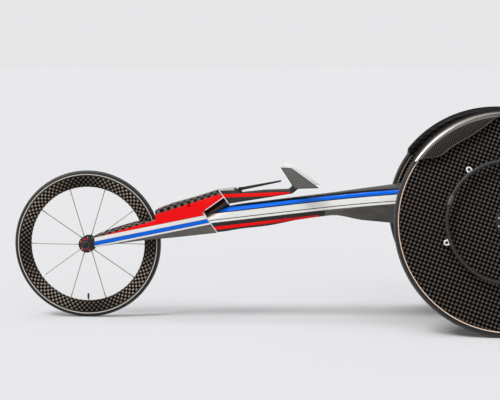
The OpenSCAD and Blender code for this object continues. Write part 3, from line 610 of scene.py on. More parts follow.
def cut(piece: Piece, *cutters: Piece) -> Piece:
    """Takes other solids out of a piece and deletes them.

    Args:
        piece: The piece to cut.
        cutters: Solids to take away.

    Returns:
        The same piece.
    """
    for cutter in cutters:
        modify(piece, "BOOLEAN", object=cutter, solver="EXACT")
        bpy.data.objects.remove(cutter)
    return tidy_mesh(piece)


def joined(name: str, pieces: Sequence[Piece]) -> Piece:
    """Makes one piece of several, with their materials.

    Args:
        name: Name of the whole.
        pieces: Pieces to join, which are used up.

    Returns:
        The joined piece.
    """
    with bpy.context.temp_override(active_object=pieces[0],
                                   selected_editable_objects=list(pieces)):
        bpy.ops.object.join()
    pieces[0].name = name
    pieces[0].data.name = name
    return pieces[0]


class CopyTree(Nodes):
    """Node tree that sets copies on points and makes one mesh of them."""

    def __init__(self, name: str, **inputs: str) -> None:
        """Builds the tree's named inputs, its copies and its end.

        Args:
            name: The tree's name.
            inputs: Kinds of the inputs that it has beside Geometry and Material.
        """
        super().__init__(bpy.data.node_groups.new(name, "GeometryNodeTree"))
        self.sockets = {}
        face = self.tree.interface
        for label, kind in {"Geometry": "Geometry", **inputs, "Material": "Material"}.items():
            socket = face.new_socket(name=label, in_out="INPUT", socket_type=f"NodeSocket{kind}")
            self.sockets[label] = socket.identifier
        face.new_socket(name="Geometry", in_out="OUTPUT", socket_type="NodeSocketGeometry")
        self.source = self.node("NodeGroupInput").outputs
        self.copies = self.node("GeometryNodeInstanceOnPoints")
        real = self.node("GeometryNodeRealizeInstances", {0: self.copies.outputs[0]})
        finish = self.node("GeometryNodeSetMaterial",
                           {"Geometry": real.outputs[0], "Material": self.source["Material"]})
        self.node("NodeGroupOutput", {0: finish.outputs[0]})

    def feed(self, **links: Socket) -> None:
        """Links outputs to the sockets of the copies."""
        for name, socket in links.items():
            self.tree.links.new(socket, self.copies.inputs[name])

    def run(self, piece: Piece, **values: object) -> Piece:
        """Runs the tree on a piece.

        Args:
            piece: The piece.
            values: Values of the named inputs.

        Returns:
            The same piece, as a plain mesh.
        """
        modifier = piece.modifiers.new("copies", "NODES")
        modifier.node_group = self.tree
        for name, value in values.items():
            modifier[self.sockets[name]] = value
        return baked(piece)


class RingRepeat(CopyTree):
    """Node tree that repeats a mesh round its local Z axis."""

    def __init__(self) -> None:
        """Builds the tree."""
        super().__init__("ring_repeat", Count="Int", Start="Float")
        points = self.node("GeometryNodePoints", {"Count": self.source["Count"]})
        index = self.value("GeometryNodeInputIndex", 0, {})
        step = TURN / Signal(self, self.source["Count"])
        angle = index * step + Signal(self, self.source["Start"])
        vector = self.node("ShaderNodeCombineXYZ", {"Z": angle})
        turn = self.node("FunctionNodeEulerToRotation", {0: vector.outputs[0]})
        self.feed(Points=points.outputs[0], Instance=self.source["Geometry"],
                  Rotation=turn.outputs[0])

    def piece(self, name: str, item: Shape, axes: Axes, count: int, start: float,
              material: Material, sharp: float = 35.0) -> Piece:
        """Repeats an item round the Z axis of a frame.

        Args:
            name: Name of the piece.
            item: One copy, in the frame.
            axes: The frame.
            count: How many copies.
            start: Angle of the first copy, in degrees.
            material: Finish of the copies.
            sharp: Least turn of an edge that stays sharp, in degrees.

        Returns:
            The finished piece.
        """
        made = self.run(item.piece(name, sharp=sharp), Count=count, Start=math.radians(start),
                        Material=material)
        move = axes.matrix
        move.translation *= MM
        made.data.transform(move)
        if move.determinant() < 0:
            made.data.flip_normals()
        return smooth(made, sharp)


REPEAT = RingRepeat()
CLOTH_RUN = "cloth_run"


def lay_cloth(piece: Piece) -> Piece:
    """Notes on each wall of a piece how far its cloth runs, in millimetres.

    Args:
        piece: The finished mesh.

    Returns:
        The same piece.
    """
    mesh = piece.data
    run = mesh.attributes.new(CLOTH_RUN, "FLOAT_VECTOR", "CORNER")
    for face in mesh.polygons:
        flat = [k for k in range(3) if k != max(range(3), key=lambda k: abs(face.normal[k]))]
        for corner in face.loop_indices:
            spot = mesh.vertices[mesh.loops[corner].vertex_index].co / MM
            run.data[corner].vector = (spot[flat[0]], spot[flat[1]], 0.0)
    return piece


def dress(piece: Piece, *finishes: Material,
          pick: Optional[Callable[[Face], int]] = None) -> Piece:
    """Gives a piece its finishes.

    Args:
        piece: The piece.
        finishes: Its finishes, in order.
        pick: Number of the finish of each face, where there is more than one.

    Returns:
        The same piece.
    """
    piece.data.materials.clear()
    for finish in finishes:
        piece.data.materials.append(finish)
    if pick is not None:
        for face in piece.data.polygons:
            face.material_index = pick(face)
    return piece


def place(piece: Piece, body: Body, slot: str, *nodes: str) -> None:
    """Hands a finished piece to the frame.

    Args:
        piece: The finished piece.
        body: Body that it rides on.
        slot: The record's material slot; not used.
        nodes: Nodes of the frame that it stands for.
    """
    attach(piece, body.value)
    if nodes:
        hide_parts(*nodes)
    LOG.info("%s on %s, %d faces", piece.name, body.value, len(piece.data.polygons))


@dataclass(frozen=True)
class Weave:
    """Woven carbon under a clear coat."""

    name: str
    cell: float
    turn: float = 0.0
    twill: bool = False
    light: Colour = GREY_TOW
    dark: Colour = DARK_TOW
    roughness: float = 0.4
    coat: float = 0.1
    relief: float = 0.04
    painted_sheen_lobes: float = 0.0
    shine: float = 0.12
    painted_crown_shade: float = 0.0
    fibre_fine: float = 9.0
    fibre_long: float = 0.7
    painted_valley_shade: float = 0.35
    painted_sheen_count: float = 4.0
    painted_sheen_turn: float = 0.5

    def tows(self, tree: ShaderTree, u: Signal, v: Signal) -> tuple[Signal, Signal, Signal]:
        """Works out the weave on two run lengths, counted in tows.

        Args:
            tree: The material's tree.
            u: Run across the warp, in tows.
            v: Run across the weft, in tows.

        Returns:
            Mask of the weft, darker towards each tow's edges as painted shade on some weaves,
            height of the tows, and streaks of their fibres.
        """
        step = u.floor() + v.floor()
        weft = step.modulo(4.0).below(2.0) if self.twill else step.modulo(2.0)
        crown_u, crown_v = u.crown(), v.crown()
        height = crown_v * weft + crown_u * (1.0 - weft)
        # Some weaves darken each light tow towards its edges and leave a bright spot on its crown:
        # painted shade.
        if self.painted_crown_shade:
            weft = weft * (crown_u * crown_v * self.painted_crown_shade + (1.0 - self.painted_crown_shade))
        fine, long = self.fibre_fine, self.fibre_long
        fibre_u = tree.noise(1.0, 1.0, tree.combine(u * fine, v * long, 0.0))
        fibre_v = tree.noise(1.0, 1.0, tree.combine(u * long, v * fine, 0.0))
        return weft, height, fibre_v * weft + fibre_u * (1.0 - weft)

    def runs(self, x: Signal, y: Signal, lean: Value = 0.0) -> tuple[Signal, Signal]:
        """Runs across warp and weft of a flat weave, in tows, both carried on by the lean."""
        a = math.radians(self.turn)
        return ((x * math.cos(a) + y * math.sin(a) + lean) / self.cell,
                (y * math.cos(a) - x * math.sin(a) + lean) / self.cell)

    def colour(self, tree: ShaderTree, weft: Signal, fibre: Signal) -> Signal:
        """Colour of the tows, a little uneven along their fibres."""
        share = (weft * (fibre * 0.7 + 0.6)).clipped()
        return tree.mix(share, self.dark, self.light)

    def make(self, axes: Axes, lay: Lay = Lay.FLAT, radius: float = 1.0) -> Material:
        """Makes the material.

        Args:
            axes: Frame of the weave.
            lay: Flat in the frame's X and Y, round its Z, or along each wall of the piece.
            radius: Radius on which a round weave keeps its cell size.

        Returns:
            The material.
        """
        tree = ShaderTree(self.name)
        x, y = tree.along(axes.x, axes.origin), tree.along(axes.y, axes.origin)
        if lay is Lay.WALLS:
            run = tree.node("ShaderNodeAttribute", attribute_name=CLOTH_RUN)
            split = tree.node("ShaderNodeSeparateXYZ", {0: run.outputs["Vector"]})
            x, y = Signal(tree, split.outputs[0]), Signal(tree, split.outputs[1])
        u, v = self.runs(x, y)
        if lay is Lay.ROUND:
            count = 2 * round(math.pi * radius / self.cell)
            u = tree.math("ARCTAN2", y, x) * (count / TURN) + float(count)
            v = (x * x + y * y).root() / self.cell
        weft, height, fibre = self.tows(tree, u, v)
        # Four brighter and four darker sectors round the axle: a painted sheen for the tows'
        # changing reflection of the light.
        if self.painted_sheen_lobes:
            turn = tree.math("ARCTAN2", y, x) * self.painted_sheen_count - self.painted_sheen_turn
            painted_sheen = tree.math("COSINE", turn) * -0.5 + 0.5
            weft = weft * (painted_sheen * self.painted_sheen_lobes + (1.0 - self.painted_sheen_lobes))
        # Tows darker down in their hollows and lighter on their crowns: painted shade.
        painted_shade_weft = weft * (height * self.painted_valley_shade + (1.0 - self.painted_valley_shade))
        rough = (tree.noise(60.0) - 0.5) * 0.12 + self.roughness
        return tree.surface(self.colour(tree, painted_shade_weft, fibre), rough, height, self.relief,
                            Coat_Weight=self.coat, Coat_Roughness=0.06,
                            Specular_IOR_Level=self.shine)


@dataclass(frozen=True)
class Band:
    """A straight stripe: its two edges at X = 0, their slope, and its ends.

    Its colour is None where the bare cap cloth shows.
    """

    colour: Optional[Colour]
    low: float
    high: float
    slope: float
    front: float = -2000.0
    rear: float = 2000.0


@dataclass(frozen=True)
class Livery:
    """Straight lengthwise stripes over lacquered carbon."""

    name: str
    bands: tuple[Band, ...]
    ground: Weave
    cap: Weave
    edge: float = 0.25
    lean: float = 0.5
    roughness: float = 0.35
    smoke_grain: tuple = (0.012, 0.04, 0.06)

    def make(self) -> Material:
        """Makes the material on the chair's side view.

        Returns:
            The material.
        """
        tree = ShaderTree(self.name)
        x, z = tree.along(REARWARD, Vector()), tree.along(UPWARD, Vector())
        y = tree.along(ACROSS, Vector())
        cloths = []
        for weave in (self.ground, self.cap):
            weft, height, fibre = weave.tows(tree, *weave.runs(x, z, y * self.lean))
            cloths.append((weave.colour(tree, weft, fibre), height))
        (colour, height), (cap_colour, _) = cloths
        spots = [run * grain for run, grain in zip((x, y, z), self.smoke_grain)]
        smoke = tree.noise(1.0, 4.0, tree.combine(*spots))
        colour = tree.mix(((smoke - 0.3) * 1.4).clipped(), colour, INK_SMOKE)
        bare: Value = 1.0
        for band in self.bands:
            line = z - x * band.slope
            mask = self.inside(line - band.low) * self.inside(band.high - line)
            mask = mask * self.inside(x - band.front) * self.inside(band.rear - x)
            shade = cap_colour
            if band.colour is not None:
                shade = tree.mix(tree.noise(9.0) * 0.05, band.colour, INK)
            colour = tree.mix(mask, colour, shade)
            bare = (1.0 - mask) * bare
        rough = (tree.noise(40.0) - 0.5) * 0.1 + self.roughness
        return tree.surface(colour, rough, height * bare, self.ground.relief,
                            Coat_Weight=0.12, Coat_Roughness=0.05, Specular_IOR_Level=0.06)

    def inside(self, depth: Signal) -> Signal:
        """1 where a depth is above zero, with a fine soft edge."""
        return (depth / self.edge + 0.5).clipped()


@dataclass(frozen=True)
class Metal:
    """Bare, plated or anodised metal with fine brush marks."""

    name: str
    colour: Colour
    roughness: float = 0.28
    metallic: float = 1.0
    grain: float = 900.0
    dulled: float = 0.72

    def make(self) -> Material:
        """Makes the material.

        Returns:
            The material.
        """
        tree = ShaderTree(self.name)
        marks = tree.noise(self.grain, 3.0)
        cloud = tree.noise(45.0, 2.0)
        dull = tuple(self.dulled * channel for channel in self.colour)
        colour = tree.mix(cloud * 0.55 + marks * 0.25, self.colour, dull)
        rough = (marks - 0.5) * 0.2 + (cloud - 0.5) * 0.12 + self.roughness
        return tree.surface(colour, rough, marks, 0.01, Metallic=self.metallic)


@dataclass(frozen=True)
class Rubber:
    """Moulded rubber with a fine grain and dusty high spots."""

    name: str
    colour: Colour
    roughness: float = 0.62
    grain: float = 1400.0
    relief: float = 0.05

    def make(self) -> Material:
        """Makes the material.

        Returns:
            The material.
        """
        tree = ShaderTree(self.name)
        grain, dust = tree.noise(self.grain, 2.0), tree.noise(28.0, 4.0)
        worn = tuple(min(1.0, 1.35 * channel + 0.004) for channel in self.colour)
        colour = tree.mix((dust * 0.9 + grain * 0.35 - 0.3).clipped(), self.colour, worn)
        rough = (grain - 0.5) * 0.2 + self.roughness
        return tree.surface(colour, rough, grain, self.relief, Specular_IOR_Level=0.35)


@dataclass(frozen=True)
class TyreRubber:
    """Tyre with a grey tread, a black shoulder and a tan line beside the rim."""

    name: str
    line: Point
    tread: float
    tan: Colour
    worn: float = 0.72
    roughness: float = 0.58

    def make(self, axes: Axes) -> Material:
        """Makes the material in a wheel's frame.

        Args:
            axes: The wheel's frame.

        Returns:
            The material.
        """
        tree = ShaderTree(self.name)
        x, y = tree.along(axes.x, axes.origin), tree.along(axes.y, axes.origin)
        radius = (x * x + y * y).root()
        grain, dust = tree.noise(1500.0, 2.0), tree.noise(20.0, 4.0)
        tread = ((radius - self.tread) * 1.5).clipped()
        black = tree.mix(dust * 0.5, screen(20, 20, 21), screen(33, 33, 34))
        grey = tree.mix(dust * 0.7 + grain * 0.3, screen(60, 62, 63), screen(84, 86, 87))
        colour = tree.mix(tread, black, grey)
        inner, outer = self.line
        line = ((radius - inner) * 2.0).clipped() * ((outer - radius) * 2.0).clipped()
        old = tuple(self.worn * channel for channel in self.tan)
        colour = tree.mix(line, colour, tree.mix(dust * 0.4 + grain * 0.2, self.tan, old))
        rough = (grain - 0.5) * 0.16 + self.roughness
        return tree.surface(colour, rough, grain, 0.06, Specular_IOR_Level=0.35)


@dataclass(frozen=True)
class PadCloth:
    """Black woven cover of the pads, with a soft sheen."""

    name: str
    thread: float = 1.6
    lean: float = 0.31
    roughness: float = 0.85

    def make(self) -> Material:
        """Makes the material.

        Returns:
            The material.
        """
        tree = ShaderTree(self.name)
        x, y = tree.along(REARWARD, Vector()), tree.along(ACROSS, Vector())
        z = tree.along(UPWARD, Vector())
        u, v = (x + z) / self.thread, (y + z * self.lean) / self.thread
        over = (u.floor() + v.floor()).modulo(2.0)
        height = u.crown() * over + v.crown() * (1.0 - over)
        fluff = tree.noise(700.0, 3.0)
        # Thread crowns lighter and the gaps between threads darker: painted shade, beside random
        # fluff.
        share = (height * 0.5 + fluff * 0.5 + tree.noise(14.0) * 0.3 - 0.2).clipped()
        colour = tree.mix(share, screen(18, 18, 20), screen(58, 58, 62))
        rough = (fluff - 0.5) * 0.15 + self.roughness
        return tree.surface(colour, rough, height + fluff * 0.4, 0.25,
                            Sheen_Weight=0.25, Specular_IOR_Level=0.2)


STEEL = Metal("polished_steel", screen(204, 204, 206), 0.2).make()
ALLOY = Metal("brushed_alloy", screen(188, 189, 192), 0.3).make()
DARK_STEEL = Metal("dark_steel", screen(92, 92, 92), 0.34).make()
TAB_SILVER = Metal("bright_tab", screen(236, 236, 238), 0.34, 0.45).make()
BLACK_ALLOY = Metal("black_anodised", screen(40, 40, 42), 0.36, 0.6).make()
BLACK_LEVER = Metal("black_lever", screen(24, 24, 25), 0.38, 0.3).make()
RED_ALLOY = Metal("red_anodised", screen(190, 20, 30), 0.3, 0.85).make()
PLATED = Metal("plated_nipple", screen(196, 190, 176), 0.28).make()
SPOKE = Metal("spoke_steel", screen(142, 139, 132), 0.4, 0.7).make()
RIM_RUBBER = Rubber("push_rim_rubber", screen(32, 32, 34), 0.44).make()
TAPE = Rubber("tape", screen(74, 74, 76), 0.5).make()
HEAD_ALLOY = Metal("black_head", screen(34, 32, 30), 0.16, 0.25, 300.0).make()
SOCKET_BLACK = Metal("black_oxide", screen(22, 22, 23), 0.4, 0.5).make()
GRIP_RUBBER = Rubber("grip_rubber", screen(92, 90, 87), 0.7).make()
DARK_RUBBER = Rubber("dark_rubber", screen(38, 38, 39), 0.7).make()
# White for the head's seals, and a painted highlight on the fins' inner faces and rims.
SEAL_AND_FIN_HIGHLIGHT_WHITE = Rubber("white_seal_and_fin_highlight", screen(236, 236, 234), 0.5).make()
# Black for the fins' edge band: painted edge shade.
EDGE_SHADE_BLACK = Rubber("fin_edge", screen(16, 16, 16), 0.6).make()
# Lighter metal along the fender's crest: a painted highlight.
CREST_HIGHLIGHT_METAL = Metal("painted_crest_highlight", screen(122, 118, 113), 0.25, 0.9, 40.0).make()
# Lighter metal for the leaf's rolled edge: a painted highlight on a real bead.
LEAF_EDGE_HIGHLIGHT = Metal("leaf_edge", screen(78, 75, 72), 0.36, 0.9, 40.0).make()
CLOTH = PadCloth("pad_cloth").make()
THREAD = Rubber("thread", screen(150, 148, 144), 0.8).make()
BARE_CARBON = Weave("bare_carbon", 5.0, 45.0, True, screen(74, 71, 67), screen(24, 23, 22))
# A darker, duller copy of the guard's carbon for its roof and panel: painted shade.
SHADED_GUARD_CARBON = Weave("guard_carbon", 5.0, 45.0, True, screen(34, 32, 30), screen(10, 10, 9),
                     coat=0.0, shine=0.1)
GUARD_TWILL = Weave("guard_twill", 2.3, -23.0, True, screen(66, 60, 54), screen(12, 11, 10),
                    coat=0.03, shine=0.08)
# The rim weave brightens and darkens in sectors round the wheel as a painted sheen.
RIM_WEAVE = Weave("rim_weave", 7.6, 0.0, False, screen(184, 169, 155), screen(2, 2, 2),
                  coat=0.04, painted_sheen_lobes=0.7, shine=0.04, painted_crown_shade=0.92)
# Both wheel weaves darken their tows towards the edges as painted shade.
DISC_WEAVE = Weave("disc_weave", 8.17, 25.1, False, screen(94, 86, 79), screen(0, 0, 0),
                   roughness=0.5, coat=0.0, shine=0.02, painted_crown_shade=0.75)
BAR_TWILL = Weave("bar_twill", 1.4, 45.0, True, screen(66, 64, 61), screen(40, 39, 37))
FINE_TWILL = Weave("fine_twill", 1.4, 45.0, True, screen(112, 108, 103), screen(102, 99, 94))
SPREAD_TOW = Weave("spread_tow", 11.0, 17.0, False, screen(104, 96, 88), screen(14, 14, 14))


@dataclass
class MainBeam:
    """Hollow lacquered beam from the head to the cockpit."""

    head_x: float = -285.0
    head_z: float = 342.0
    length: float = 603.0
    waist_rise: float = 50.0
    joint_z: float = 420.7
    height: float = 66.0
    width: float = 72.0
    tub_width: float = 336.0
    wall: float = 5.0
    seam: float = 38.0
    tube_r: float = 17.0
    x_shares: tuple = (-0.045, 0.075, 0.25, 0.43, 0.58, 0.75, 0.92, 1)
    front_top_shares: tuple = (-0.445, 0.203, 0.501, 0.779, 1)
    rear_top_shares: tuple = (0.446, 0.82, 1)
    shoulder_shares: tuple = (0.1, 0.24, 0.17, 0.12, 0.11, 0.11, 0.12, 0.12)
    flank_shares: tuple = (0.7, 1.04, 1, 0.9, 0.89, 0.74, 0.69, 0.65)
    floor_shares: tuple = (0.79, 1.14, 1.152, 1.045, 1.015, 1.417, 1.69, 1.871)
    flare_shares: tuple = (0, 0, 0, 0.01, 0.05, 0.22, 0.55, 0.72)
    roof_shares: tuple = (0.5, 0.5, 0.52, 0.58, 0.66, 0.8, 0.9, 0.94)
    keel_shares: tuple = (0.67, 0.67, 0.67, 0.67, 0.62, 0.46, 0.53, 0.6)
    corner_radii: tuple = (9, 9, 5, 7, 7, 5, 9, 9)
    station_count: int = 72
    hollow_from: int = 2
    deck_rise: float = 0.9
    stripe_drop: float = 11.0
    stripe_share: float = 0.925
    stripes: tuple = ((WHITE, -45, 200, 2000), (INK, -17.5, 200, 2000), (BLUE, -14.5, -3.5, 2000),
                      (INK, -38, -35.5, 2000), (CHARCOAL, -200, -45, 50), (RED, -68, -58, 30))

    def __post_init__(self) -> None:
        """Works out the smooth runs of every size along the beam."""
        waist = self.head_z + self.waist_rise
        tops = [self.head_z + share * self.waist_rise for share in self.front_top_shares]
        tops += [waist + share * (self.joint_z - waist) for share in self.rear_top_shares]
        halves = [self.width / 2 + share * (self.tub_width - self.width) / 2
                  for share in self.flare_shares]
        self.xs = [self.head_x + share * self.length for share in self.x_shares]
        self.tracks = [Track(self.xs, values) for values in (
            tops, [share * self.height for share in self.shoulder_shares],
            [share * self.height for share in self.flank_shares],
            [share * self.height for share in self.floor_shares],
            halves, self.roof_shares, self.keel_shares)]

    def ring(self, x: float, wall: float) -> list[Spot]:
        """Rounded cross section at a place.

        Args:
            x: Place along the chair.
            wall: Depth below the outer skin.

        Returns:
            The ring of points.
        """
        top, shoulder, flank, floor, half, roof, keel = [track.at(x) for track in self.tracks]
        w_top, w_keel = roof * half - wall / 2, keel * half - wall / 2
        right = [(w_top, top - wall), (half - wall, top - shoulder - wall / 2),
                 (half - wall, top - flank + wall / 2), (w_keel, top - floor + wall)]
        return [(x, y, z) for y, z in rounded(mirrored(right, SIDEWAYS), self.corner_radii)]

    def build(self) -> None:
        """Builds the beam with its hollow, its head cut and its stripes."""
        outer = [self.ring(x, 0) for x in spread(self.xs[0], self.xs[-1], self.station_count)]
        inner = [self.ring(x, self.wall)
                 for x in spread(self.xs[-1], self.xs[self.hollow_from], self.station_count // 2)]
        body = Shape().skin(outer + inner).piece("beam_shell")
        reach = 4 * self.seam
        block = [(-reach, -reach), (reach, -reach), (reach, reach), (-reach, reach)]
        ahead = Shape().prism(block, -self.seam - 2 * reach, -self.seam).piece("ahead", HEAD)
        bore = Shape().rod(Vector((0, 0, -reach)), Vector((0, 0, reach)),
                           ((0, self.tube_r), (1, self.tube_r)), 64).piece("bore", HEAD)
        cut(body, ahead, bore)
        dress(body, self.livery().make(), SPREAD_TOW.make(HERE),
              pick=lambda face: int(face.normal.z > self.deck_rise))
        place(body, Body.CHASSIS, "carbon_painted", "main_beam")

    def livery(self) -> Livery:
        """White flank under a blue shoulder stripe, and a red stripe low on bare carbon.

        Returns:
            The paint.
        """
        slope = (self.joint_z - self.head_z - self.stripe_drop) / (self.length * self.stripe_share)
        base = self.joint_z - slope * self.xs[-1]
        bands = tuple(Band(colour, base + low, base + high, slope, rear=rear)
                      for colour, low, high, rear in self.stripes)
        return Livery("beam_lacquer", bands, FINE_TWILL, SPREAD_TOW)


@dataclass
class CockpitTub:
    """Open kneeling cockpit of bare carbon behind the beam."""

    x_front: float = 318.0
    length: float = 430.0
    width: float = 336.0
    top_z: float = 494.7
    floor_z: float = 224.7
    joint_z: float = 420.7
    joint_half: float = 131.04
    joint_floor: float = 123.49
    joint_flank: float = 42.9
    joint_shoulder: float = 7.92
    wall: float = 5.0
    flank_rise: float = 30.0
    joint_lip_share: float = 0.94
    lip_share: float = 0.97
    x_shares: tuple = (0, 0.115, 0.255, 0.395, 0.815, 0.93, 1)
    top_shares: tuple = (0, 0.4, 0.73, 0.94, 1, 1, 0.9)
    floor_shares: tuple = (0, 0.3, 0.72, 1, 1, 0.75, 0.3)
    flank_shares: tuple = (0, 0.25, 0.62, 1, 1, 0.84, 0.5)
    width_shares: tuple = (0, 0.47, 0.88, 1, 1, 0.5, -0.4)
    keel_shares: tuple = (0.6, 0.667, 0.76, 0.8, 0.8, 0.77, 0.73)
    corner_radii: tuple = (3, 8, 22, 26, 26, 22, 8, 3)
    station_count: int = 60
    lip_r: float = 4.2
    bow_count: int = 12

    def __post_init__(self) -> None:
        """Works out the smooth runs of every size along the cockpit."""
        tub_y = self.width / 2
        floor_0, flank_0 = self.joint_z - self.joint_floor, self.joint_z - self.joint_flank
        flank_1 = self.floor_z + self.flank_rise
        self.xs = [self.x_front + share * self.length for share in self.x_shares]
        lips = [self.joint_lip_share] + [self.lip_share] * (len(self.xs) - 1)
        self.tracks = [Track(self.xs, values) for values in (
            [self.joint_z + share * (self.top_z - self.joint_z) for share in self.top_shares],
            [flank_0 + share * (flank_1 - flank_0) for share in self.flank_shares],
            [floor_0 + share * (self.floor_z - floor_0) for share in self.floor_shares],
            [self.joint_half + share * (tub_y - self.joint_half) for share in self.width_shares],
            self.keel_shares, lips)]

    def ring(self, x: float, wall: float, lift: float) -> list[Spot]:
        """Rounded cross section at a place.

        Args:
            x: Place along the chair.
            wall: Depth below the outer skin.
            lift: Height that is added to the top.

        Returns:
            The ring of points.
        """
        top, flank, floor, half, keel, lip = [track.at(x) for track in self.tracks]
        top += lift
        right = [(lip * half - wall, top), (half - wall, top - self.joint_shoulder),
                 (half - wall, flank + wall / 2), (keel * half - wall / 2, floor + wall)]
        return [(x, y, z) for y, z in rounded(mirrored(right, SIDEWAYS), self.corner_radii)]

    def build(self, carbon: Material) -> None:
        """Builds the open shell and its rolled lip.

        Args:
            carbon: Finish of the shell.
        """
        places = spread(self.xs[0], self.xs[-1], self.station_count)
        shell = Shape().skin([self.ring(x, 0, 0) for x in places]).piece("cockpit_shell")
        lift = self.top_z - self.joint_z
        inner = [self.ring(x, self.wall, lift)
                 for x in spread(self.xs[0], self.xs[-1] - self.wall, self.station_count)]
        first = [(x - 2 * self.wall, y, z) for x, y, z in inner[0]]
        cut(shell, Shape().skin([first] + inner).piece("hollow"))
        dress(lay_cloth(shell), carbon)
        place(shell, Body.CHASSIS, "carbon_bare", "cockpit_tub")
        self.lip(places)

    def lip(self, places: Sequence[float]) -> None:
        """Adds the rolled rubber edge round the cockpit's mouth.

        Args:
            places: Stations along the cockpit.
        """
        side = []
        for x in places[1:]:
            top, _, _, half, _, lip = [track.at(x) for track in self.tracks]
            side.append(Vector((x, -(lip * half - self.wall / 2), top)))
        side[-1] = side[-1] - Vector((self.wall / 2, 0, 0))
        bow = [Vector((self.x_front - self.lip_r / 2, y, self.joint_z - self.lip_r / 4))
               for y in spread(0.0, side[0].y + 3 * self.lip_r, self.bow_count)]
        side = bow + side[1:]
        path = side + [Vector((p.x, -p.y, p.z)) for p in reversed(side[1:])]
        edge = Shape().cord(path, self.lip_r, UPWARD, 12).piece("cockpit_lip", sharp=60)
        place(dress(edge, DARK_RUBBER), Body.CHASSIS, "grip_rubber")


@dataclass
class Fork:
    """Painted fork: two blades, the crown with its hood, and the seam seals."""

    axle_x: float = -692.0
    axle_z: float = 230.0
    face_x: float = -430.0
    taper_x: float = -431.1
    blade_xs: tuple = (-708.4, -701, -692, -660.6, -530.9, -476, -467.5, -430, -422)
    blade_tops: tuple = (234.5, 240, 243.5, 259.5, 301, 311.2, 329, 330, 330)
    blade_lows: tuple = (224.5, 220, 218.5, 224, 243, 249, 249.6, 254, 254.9)
    blade_inners: tuple = (37.6, 37.3, 37.3, 36.6, 27.1, 26.5, 26.4, 26, 26)
    blade_walls: tuple = (8.4, 9.2, 9.5, 10.2, 18, 18.5, 18.2, 18.6, 18.6)
    half: float = 45.0
    narrow: float = 37.8
    narrow_x: float = -209.0
    hood: tuple = ((-474.9, 316), (-474.9, 339), (-431.1, 356), (-353, 378), (-280.9, 401.6))
    hood_up: float = 20.0
    head_half: float = 38.0
    seam: float = 41.0
    rear_low: Point = (-284.2, 270.4)
    face_low: float = 254.0
    face_high: float = 316.0
    bore: Point = (-370.06, 353.98)
    bore_r: float = 3.6
    bore_depth: float = 22.0
    hole_r: float = 6.0
    seal_t: float = 2.6
    round_r: float = 5.0
    stripe_slope: float = 0.205
    stripe_front: float = -664.0
    stripe_rear: float = -150.0
    tip_x: float = -760.0
    tip_half: float = 60.0
    crown_cap: Point = (0.3227, 13.0)
    blade_cap: Point = (0.29, 6.5)
    blade_cap_z: float = 261.0
    cap_height: float = 200.0
    blade_rounds: tuple = (0.3, 0.3, 0.42, 0.42)
    seal_plates: tuple = (("seal_low", -1, -58.0, 19.5, 37.5), ("seal_high", 1, -8.0, 46.0, 22.0))
    seal_round: float = 4.0
    stripes: tuple = ((RED, 19.5, 74.0), (WHITE, 6.5, 18.5), (BLUE, -6.5, 5.5),
                      (WHITE, -12.5, -7.5))

    def half_at(self, x: float) -> float:
        """Half width of the crown at a place."""
        share = max(0.0, (x - self.taper_x) / (self.narrow_x - self.taper_x))
        return self.half + (self.narrow - self.half) * share

    def on_axis(self, along: float, up: float) -> Point:
        """Side view point at a distance along and above the steering axis."""
        spot = HEAD.origin + along * HEAD.z + up * HEAD.x
        return spot.x, spot.z

    def build(self) -> None:
        """Builds and paints the fork."""
        outline = [*self.hood, self.on_axis(self.head_half, self.hood_up),
                   self.on_axis(-self.seam, self.hood_up), self.rear_low,
                   (self.face_x, self.face_low), (self.face_x, self.face_high)]
        crown = tapered_plate("crown_shell", outline, self.half_at, self.taper_x)
        bevelled(crown, self.round_r, 5, 25)
        drills = []
        for side in Side:
            start = Vector((self.bore[0], side.sign * 2 * self.half, self.bore[1]))
            end = Vector((self.bore[0], side.sign * (self.half - self.bore_depth), self.bore[1]))
            drill = Shape().rod(start, end, ((0, self.bore_r), (1, self.bore_r)), 32)
            drills.append(drill.piece(side.of("drill")))
        cut(crown, *drills)
        dress(crown, self.livery("crown_lacquer", self.hood[1], *self.crown_cap, 0.0).make())
        place(crown, Body.STEERING, "carbon_painted", "fork_crown")
        cap_start = (self.blade_xs[3], self.blade_cap_z)
        paint = self.livery("blade_lacquer", cap_start, *self.blade_cap, self.hood[0][0]).make()
        for side in Side:
            blade = dress(self.blade(side), paint)
            place(blade, Body.STEERING, "carbon_painted", side.of("fork_blade"))
        self.seals()

    def blade(self, side: Side) -> Piece:
        """Builds one blade with rounded edges and a rounded tip.

        Args:
            side: Left or right.

        Returns:
            The blade.
        """
        tracks = [Track(self.blade_xs, values) for values in
                  (self.blade_tops, self.blade_lows, self.blade_inners, self.blade_walls)]
        rings = []
        for x in spread(self.blade_xs[0], self.blade_xs[-1], 128):
            top, low, inner, wall = [track.at(x) for track in tracks]
            out, back = side.sign * (inner + wall), side.sign * inner
            corners = [(back, top), (back, low), (out, low), (out, top)]
            ring = rounded(corners, [share * wall for share in self.blade_rounds], 5)
            rings.append([(x, y, z) for y, z in ring])
        blade = Shape().skin(rings).piece(side.of("blade"))
        axle = Shape().rod(Vector((self.axle_x, -2 * self.half, self.axle_z)),
                           Vector((self.axle_x, 2 * self.half, self.axle_z)),
                           ((0, self.hole_r), (1, self.hole_r)), 40).piece("axle_hole")
        return cut(blade, axle)

    def seals(self) -> None:
        """Adds the white dust seals that line the two seams of the head."""
        seals = []
        for name, sign, low, high, half in self.seal_plates:
            outline = rounded([(low, -half), (high, -half), (high, half), (low, half)],
                              self.seal_round)
            along = sign * self.seam
            plate = Shape().prism(outline, *sorted((along, along - sign * self.seal_t)))
            seals.append(dress(plate.piece(name, HEAD), SEAL_AND_FIN_HIGHLIGHT_WHITE))
        place(joined("head_seals", seals), Body.STEERING, "grip_rubber")

